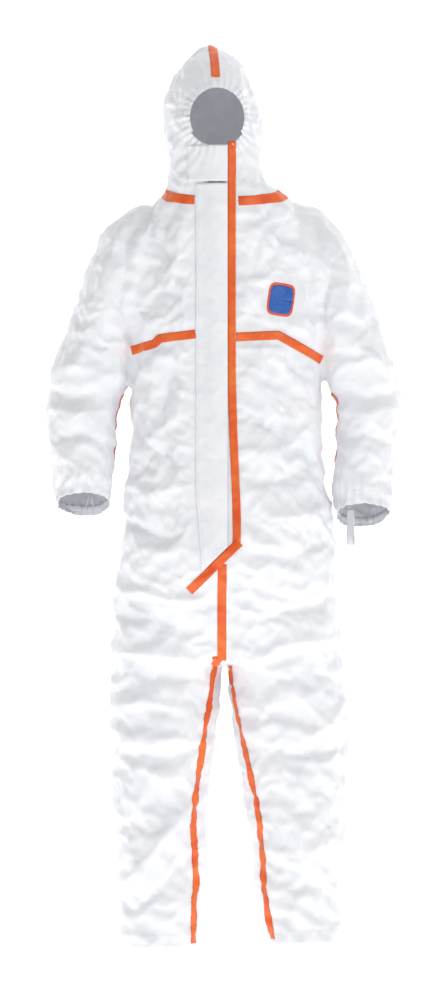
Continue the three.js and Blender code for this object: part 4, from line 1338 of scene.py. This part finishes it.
def make_flaps():
    """The storm flap, the chin flap above it, and the adhesive inside each one's free edge."""
    low, high = STORM_FLAP["low"], STORM_FLAP["high"]
    make_flap("storm_flap", STORM_FLAP, flap_rows(storm_edge, low, high, FLAP_LIFT, FLAP_SLANT))
    low, high = CHIN_FLAP["low"], CHIN_FLAP["high"]
    make_flap("chin_flap", CHIN_FLAP, flap_rows(chin_edge, low, high, FLAP_LIFT + CHIN_LIFT))
    for name, body, path in (
        ("storm_adhesive_strip", "storm_flap", [(-50, 1470), (-50, 960), (-39, 760)]),
        ("chin_adhesive_strip", "chin_flap", [(-66, 1546), (-66, 1492)]),
    ):
        strip = strip_on_cloth(name, path, ADHESIVE_WIDTH, -1, ADHESIVE_HEIGHT)
        finish_strip(
            strip,
            ADHESIVE_WIDTH,
            path_length(path),
            "adhesive",
            "adhesive",
            [f"{body}_adhesive"],
            ADHESIVE_THICKNESS,
            "laid",
            [f"{body}_cloth"],
        )
        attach(strip, body)


# How far out each part of the badge reaches, as a share of its half width, and its rings of points.
BADGE_PARTS = (("badge_field", 0.02, 0.86, 9, "badge"), ("badge_edge", 0.86, 1.0, 4, "badge_edge"))
BADGE_SQUARENESS = 4.5


def make_badge():
    """A plain patch with round corners and an orange edge."""
    cos, sin = math.cos(BADGE["lean"]), math.sin(BADGE["lean"])
    for name, low, high, rings, finish in BADGE_PARTS:
        rows = []
        for scale in np.linspace(low, high, rings):
            row = []
            for turn in np.linspace(0, 2 * math.pi, 73):
                u = BADGE["width"] / 2 * scale * rounded(math.cos(turn), BADGE_SQUARENESS)
                w = BADGE["height"] / 2 * scale * rounded(math.sin(turn), BADGE_SQUARENESS)
                x = BADGE["x"] + u * cos - w * sin
                z = BADGE["z"] + u * sin + w * cos
                row.append(on_front(x, z, BADGE_HEIGHT))
            rows.append(row)
        patch = grid_object(name, rows, (0, -1, 0))
        walled(patch, FILM_THICKNESS, OUTWARDS, finish)
        if finish == "badge":
            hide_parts("chest_badge")
        blend_arm(patch)


# Finger loops: how wide they bow, how far they hang, and for each its place, turn and width.
LOOP_REACH = 14.2
LOOP_DROP = 68.0
LOOP_LENGTH = 152.0
LOOPS = (("left", (-264, -80, 873), 0, 10.0), ("right", (242, -74, 849), 80, 12.0))


def make_loops():
    """Finger loops: soft elastic straps sewn to the cuffs."""
    shape = [(0.45, 0.27), (0.9, 0.56), (1, 0.8), (0.58, 0.96)]
    half = [(1.6, 0)] + [(LOOP_REACH * across, -LOOP_DROP * down) for across, down in shape]
    route = smooth_route(half + [(0, -LOOP_DROP)] + [(-a, b) for a, b in half[::-1]], 90)
    for side, (x, y, z), turn, width in LOOPS:
        cos, sin = math.cos(math.radians(turn)), math.sin(math.radians(turn))
        rows = []
        for across, down in route:
            row = []
            for v in np.linspace(-width / 2, width / 2, 5):
                twist = v * (1 - 0.1 * math.sin(down / 9))
                row.append((x + across * cos - twist * sin, y + across * sin + twist * cos, z + down))
            rows.append(row)
        name = f"finger_loop_{side}"
        band = grid_object(f"finger_strap_{side}", rows, (cos, sin, 0.3))
        sleeve = [f"sleeve_{side}"]
        finish_strip(band, width, LOOP_LENGTH, "loop", "loop_webbing", [name], LOOP_THICKNESS, "hung", sleeve)
        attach(band, name)


def smooth_route(route, count):
    """A Catmull-Rom curve through points in the plane."""
    pts = np.array(route, float)
    padded = np.vstack([2 * pts[0] - pts[1], pts, 2 * pts[-1] - pts[-2]])
    out = []
    for t in np.linspace(0, len(pts) - 1.0001, count):
        i = int(t)
        f = t - i
        a, b, c, d = padded[i : i + 4]
        square = 2 * a - 5 * b + 4 * c - d
        cube = 3 * b - a - 3 * c + d
        out.append(0.5 * (2 * b + (c - a) * f + square * f * f + cube * f**3))
    return np.array(out)


# Elastics: each one's width and the length that it is cut to.
FACE_ELASTIC = (12.0, 330.0)
WAIST_ELASTIC = (14.0, 250.0)
CUFF_ELASTIC = (10.0, 300.0)
WAIST_LINE = [(-128, 1015), (108, 1015)]


def finish_elastic(obj, size, node, rests_on, body):
    finish_strip(obj, *size, "elastic", "elastic", [node], ELASTIC_THICKNESS, "stretched", rests_on)
    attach(obj, body)


def inside_cuff(side, up):
    """The middle of a sleeve, a distance up from the cuff's leaning edge."""
    x, y = CUFF_MIDDLE[side]
    return (x, y, CUFF_FRONT_Z[side] + up - (y - CUFF_FRONT_Y) * math.tan(CUFF_TILT))


def make_elastics():
    """Elastic bands inside the face opening, the cuffs and the back of the waist."""
    rows = [
        [round_face(turn, grow, ELASTIC_HEIGHT) for grow in np.linspace(3, 14, 5)]
        for turn in np.linspace(math.radians(-26), math.radians(206), 120)
    ]
    face = grid_object("face_elastic_band", rows, (0, 1, 0))
    finish_elastic(face, FACE_ELASTIC, "face_elastic", ["hood"], "root")
    waist = strip_on_cloth("waist_elastic_band", WAIST_LINE, WAIST_ELASTIC[0], 1, WAIST_HEIGHT)
    finish_elastic(waist, WAIST_ELASTIC, "waist_elastic", trunk_names(), "root")
    for side in SIDES:
        middles = [inside_cuff(side, up) for up in np.linspace(8, 18, 4)]
        rows = [
            [from_inside(middle, angle, CUFF_TILT, ELASTIC_HEIGHT) for middle in middles]
            for angle in np.linspace(0, 2 * math.pi, 73)
        ]
        band = grid_object(f"cuff_elastic_band_{side}", rows, (-1, 0, 0))
        finish_elastic(band, CUFF_ELASTIC, f"cuff_elastic_{side}", [f"sleeve_{side}"], f"forearm_{side}")


def trunk_names():
    return [f"trunk_{side}" for side in SIDES]


# ------------------------------------------------------------------ what repeats


def repeated(name, points, unit, finish, spacing, size):
    """Copies of a small unit at even spacing along a line of points, made with Geometry Nodes."""
    line = bpy.data.meshes.new(name)
    edges = [(i, i + 1) for i in range(len(points) - 1)]
    line.from_pydata(to_frame(points).tolist(), edges, [])
    obj = bpy.data.objects.new(name, line)
    bpy.context.scene.collection.objects.link(obj)
    tree = bpy.data.node_groups.new(f"{name}_repeat", "GeometryNodeTree")
    tree.interface.new_socket("Line", in_out="INPUT", socket_type="NodeSocketGeometry")
    tree.interface.new_socket("Spacing", in_out="INPUT", socket_type="NodeSocketFloat")
    tree.interface.new_socket("Size", in_out="INPUT", socket_type="NodeSocketFloat")
    tree.interface.new_socket("Pieces", in_out="OUTPUT", socket_type="NodeSocketGeometry")
    inputs = add_node(tree, "NodeGroupInput")
    curve = add_node(tree, "GeometryNodeMeshToCurve", None, _0=inputs.outputs[0])
    by_length = {"mode": "LENGTH"}
    even = add_node(
        tree, "GeometryNodeResampleCurve", by_length, Curve=curve.outputs[0], Length=inputs.outputs[1]
    )
    ahead = add_node(tree, "GeometryNodeInputTangent")
    turned = add_node(
        tree, "FunctionNodeAlignRotationToVector", {"axis": "Z"}, Vector=ahead.outputs[0]
    )
    source = add_node(tree, "GeometryNodeObjectInfo", None, Object=unit)
    copies = add_node(
        tree,
        "GeometryNodeInstanceOnPoints",
        None,
        Points=even.outputs[0],
        Instance=source.outputs["Geometry"],
        Rotation=turned.outputs[0],
        Scale=inputs.outputs[2],
    )
    real = add_node(tree, "GeometryNodeRealizeInstances", None, _0=copies.outputs[0])
    coated = add_node(
        tree, "GeometryNodeSetMaterial", None, Geometry=real.outputs[0], Material=materials[finish]
    )
    output = tree.nodes.new("NodeGroupOutput")
    tree.links.new(coated.outputs[0], output.inputs[0])
    modifier = obj.modifiers.new("repeat", "NODES")
    modifier.node_group = tree
    sockets = {item.name: item.identifier for item in tree.interface.items_tree if item.in_out == "INPUT"}
    modifier[sockets["Spacing"]] = spacing * MM
    modifier[sockets["Size"]] = size
    return applied(obj)


def unit_mesh(name, length, width, height, bevel):
    """A small rounded block at the world's centre, along Z, to be repeated."""
    body = bmesh.new()
    bmesh.ops.create_cube(body, size=1)
    for vert in body.verts:
        vert.co = Vector((vert.co.x * width, vert.co.y * height, vert.co.z * length)) * MM
    bmesh.ops.bevel(body, geom=body.edges[:], offset=bevel * MM, segments=1, affect="EDGES")
    mesh = bpy.data.meshes.new(name)
    body.to_mesh(mesh)
    body.free()
    return bpy.data.objects.new(name, mesh)


# Stitches: their pitch, their size, and how far each row lies from its edge.
STITCH_PITCH = 3.6
STITCH = (2.6, 0.62, 0.5, 0.2)
CUFF_STITCHES_UP = 27.0
HEM_STITCHES_UP = 24.0
FACE_STITCHES_OUT = 13.0
FLAP_STITCHES_IN = 5.0


def stitches(name, points, body):
    """A row of thread stitches along a line that lies on the cloth."""
    row = repeated(name, points, work["stitch"], "thread", STITCH_PITCH, 1.0)
    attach(row, body)


def inset_storm_edge(z):
    return storm_edge(z) + FLAP_STITCHES_IN


def make_stitches():
    """Rows of stitches round the cuffs, the hems and the face, and down the storm flap."""
    work["stitch"] = unit_mesh("stitch", *STITCH)
    turns = np.linspace(0, 2 * math.pi, 121)
    for side in SIDES:
        middle = inside_cuff(side, CUFF_STITCHES_UP)
        ring = [from_inside(middle, turn, CUFF_TILT, THREAD_HEIGHT) for turn in turns]
        stitches(f"cuff_stitches_{side}", ring, f"forearm_{side}")
        middle = (*HEM_MIDDLE[side], HEM_Z[side] + HEM_STITCHES_UP)
        ring = [from_inside(middle, turn, 0.0, THREAD_HEIGHT) for turn in turns]
        stitches(f"hem_stitches_{side}", ring, f"shin_{side}")
    turns = np.linspace(math.radians(-20), math.radians(200), 140)
    ring = [round_face(turn, FACE_STITCHES_OUT, THREAD_HEIGHT) for turn in turns]
    stitches("face_stitches", ring, "root")
    rows = flap_rows(inset_storm_edge, STORM_FLAP["low"] + 4, STORM_FLAP["high"] - 4, FLAP_LIFT, FLAP_SLANT)
    above = np.array([0, -0.95, 0])
    stitches("storm_flap_stitches", [row[-1] + above for row in rows], "storm_flap")


# The zip: a tooth's sizes, their pitch, and how far the row starts from the tape's end.
TOOTH = (1.5, 2.9, 2.2, 0.35)
TOOTH_PITCH = 2.5
TOOTH_OFFSET = {"left": 0.0, "right": 1.25}
TOOTH_X = 1.6
ZIP_ENDS = (6.0, 7.0)
ZIP_FRONT = 1.5


def on_zip(x, z):
    """A place in the zip's own leaning frame."""
    return np.array(
        [
            ZIP_X + x,
            ZIP_LOW[0] + ZIP_FRONT + z * math.sin(ZIP_LEAN),
            ZIP_LOW[1] + z * math.cos(ZIP_LEAN),
        ]
    )


def make_zip():
    """Moulded teeth for the zip, and finishes for its tapes, stops, slider and pull."""
    tooth = unit_mesh("zip_tooth", *TOOTH)
    for side in SIDES:
        offset = TOOTH_OFFSET[side]
        heights = np.linspace(ZIP_ENDS[0] + offset, ZIP_LENGTH - ZIP_ENDS[1] + offset, 40)
        line = [on_zip(SIGN[side] * TOOTH_X, z) for z in heights]
        teeth = repeated(f"zip_teeth_{side}", line, tooth, "zip", TOOTH_PITCH, 1.0)
        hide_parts(f"zip_coil_{side}")
        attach(teeth, "root")
    for node, finish in (
        ("zip_tape_left", "zip_tape"),
        ("zip_tape_right", "zip_tape"),
        ("zip_bottom_stop", "zip"),
        ("zip_top_stop", "zip"),
        ("zip_slider", "zip"),
        ("zip_pull", "zip"),
    ):
        shown = frame["nodes"][node]
        shown.data.materials.clear()
        shown.data.materials.append(materials[finish])


# ------------------------------------------------------------------ studio


# The backdrop's floor, bend, reach, half width and height, and the lamps, in metres.
FLOOR_Z = -0.12
SWEEP = {"front": -12.0, "radius": 1.2, "depth": 2.6, "half": 7.0, "top": 7.0}
LAMPS = (
    ("key", (2.1, -2.2, 2.7), 0.8),
    ("fill", (-2.6, -2.2, 1.5), 1.8),
    ("top", (0.2, 0.3, 3.2), 1.6),
)
LAMPS_AIM = Vector((0, 0, 1.0))
SENSOR_HEIGHT = 36
VIEW_END = 60


def make_studio(settings):
    """A plain white sweep, soft lights and the camera."""
    scene = bpy.context.scene
    radius, depth, half = SWEEP["radius"], SWEEP["depth"], SWEEP["half"]
    bend = [
        (depth - radius + radius * math.sin(a), radius + FLOOR_Z - radius * math.cos(a))
        for a in np.linspace(0, math.pi / 2, 24)
    ]
    profile = [(SWEEP["front"], FLOOR_Z)] + bend + [(depth, SWEEP["top"])]
    points = [(x, y, z) for y, z in profile for x in (-half, half)]
    faces = [(2 * i, 2 * i + 1, 2 * i + 3, 2 * i + 2) for i in range(len(profile) - 1)]
    mesh = bpy.data.meshes.new("studio_sweep")
    mesh.from_pydata(points, [], faces)
    mesh.polygons.foreach_set("use_smooth", [True] * len(mesh.polygons))
    mesh.materials.append(materials["floor"])
    sweep = bpy.data.objects.new("studio_sweep", mesh)
    scene.collection.objects.link(sweep)
    world = bpy.data.worlds.new("soft_white")
    scene.world = world
    world.use_nodes = True
    background = world.node_tree.nodes["Background"]
    background.inputs["Color"].default_value = linear("#FFFFFF")
    background.inputs["Strength"].default_value = settings.world
    for name, place, size in LAMPS:
        light = bpy.data.lights.new(name, "AREA")
        light.energy = getattr(settings, name)
        light.size = size
        lamp = bpy.data.objects.new(name, light)
        scene.collection.objects.link(lamp)
        lamp.location = place
        lamp.rotation_euler = (LAMPS_AIM - Vector(place)).to_track_quat("-Z", "Y").to_euler()
    camera = bpy.data.cameras.new("camera")
    camera.sensor_fit = "VERTICAL"
    camera.sensor_height = SENSOR_HEIGHT
    camera.lens = settings.lens
    camera.clip_end = VIEW_END
    view = bpy.data.objects.new("camera", camera)
    scene.collection.objects.link(view)
    view.location = settings.camera
    view.rotation_euler = (math.pi / 2, 0, 0)
    scene.camera = view
    scene.view_settings.view_transform = "Standard"


# ------------------------------------------------------------------ add-on


class SuitClothSettings(bpy.types.PropertyGroup):
    """What a user may change in the cloth"""

    voxel: FloatProperty(name="Mesh size", description="Spacing of the cloth's points, in mm", default=7.5)
    growth: FloatProperty(
        name="Slack", description="How much larger the cloth is than its form, as a share", default=0.05
    )
    frames: IntProperty(name="Frames", description="How long the cloth settles for", default=8)


class SuitStudioSettings(bpy.types.PropertyGroup):
    """What a user may change in the stage"""

    camera: FloatVectorProperty(
        name="Camera",
        description="Place of the camera",
        subtype="TRANSLATION",
        default=(-0.012, -10.0, 0.886),
    )
    lens: FloatProperty(name="Lens", description="Focal length, in mm", default=188.0)
    world: FloatProperty(name="Sky", description="Strength of the white surroundings", default=0.4)
    key: FloatProperty(name="Key", description="Main light", unit="POWER", default=21.0)
    fill: FloatProperty(name="Fill", description="Light from the other side", unit="POWER", default=5.0)
    top: FloatProperty(name="Top", description="Light from above", unit="POWER", default=7.0)


class SUIT_OT_cloth(bpy.types.Operator):
    """Makes the suit's cloth and cuts its panels"""

    bl_idname = "suit.cloth"
    bl_label = "Cloth panels"

    def execute(self, context):
        settings = context.scene.suit_cloth
        make_materials()
        make_cloth(settings.voxel, settings.growth, settings.frames)
        make_pieces()
        return {"FINISHED"}


class SUIT_OT_tapes(bpy.types.Operator):
    """Lays the orange tapes on the seams"""

    bl_idname = "suit.tapes"
    bl_label = "Seam tapes"

    def execute(self, context):
        make_tapes()
        return {"FINISHED"}


class SUIT_OT_front(bpy.types.Operator):
    """Makes the zip, the flaps over it and the badge"""

    bl_idname = "suit.front"
    bl_label = "Zip, flaps and badge"

    def execute(self, context):
        make_zip()
        make_flaps()
        make_badge()
        return {"FINISHED"}


class SUIT_OT_trim(bpy.types.Operator):
    """Makes the elastics, finger loops and stitches"""

    bl_idname = "suit.trim"
    bl_label = "Elastics, loops and stitches"

    def execute(self, context):
        make_elastics()
        make_loops()
        make_stitches()
        return {"FINISHED"}


class SUIT_OT_studio(bpy.types.Operator):
    """Makes the backdrop, lights and camera"""

    bl_idname = "suit.studio"
    bl_label = "Studio"

    def execute(self, context):
        make_studio(context.scene.suit_studio)
        return {"FINISHED"}


class SUIT_PT_panel(bpy.types.Panel):
    """Lists the settings and the steps, in order"""

    bl_label = "Protective suit"
    bl_space_type = "VIEW_3D"
    bl_region_type = "UI"
    bl_category = "Suit"

    def draw(self, context):
        scene = context.scene
        for group, operators in ((scene.suit_cloth, OPERATORS[:-1]), (scene.suit_studio, OPERATORS[-1:])):
            for name in group.bl_rna.properties.keys():
                if name not in ("rna_type", "name"):
                    self.layout.prop(group, name)
            for operator in operators:
                self.layout.operator(operator.bl_idname)


OPERATORS = (SUIT_OT_cloth, SUIT_OT_tapes, SUIT_OT_front, SUIT_OT_trim, SUIT_OT_studio)
CLASSES = (SuitClothSettings, SuitStudioSettings, *OPERATORS, SUIT_PT_panel)


def register():
    for cls in CLASSES:
        bpy.utils.register_class(cls)
    bpy.types.Scene.suit_cloth = PointerProperty(type=SuitClothSettings)
    bpy.types.Scene.suit_studio = PointerProperty(type=SuitStudioSettings)


def unregister():
    del bpy.types.Scene.suit_cloth
    del bpy.types.Scene.suit_studio
    for cls in reversed(CLASSES):
        bpy.utils.unregister_class(cls)


def main():
    register()
    bpy.ops.suit.cloth()
    bpy.ops.suit.tapes()
    bpy.ops.suit.front()
    bpy.ops.suit.trim()
    bpy.ops.suit.studio()


if __name__ == "__main__":
    main()
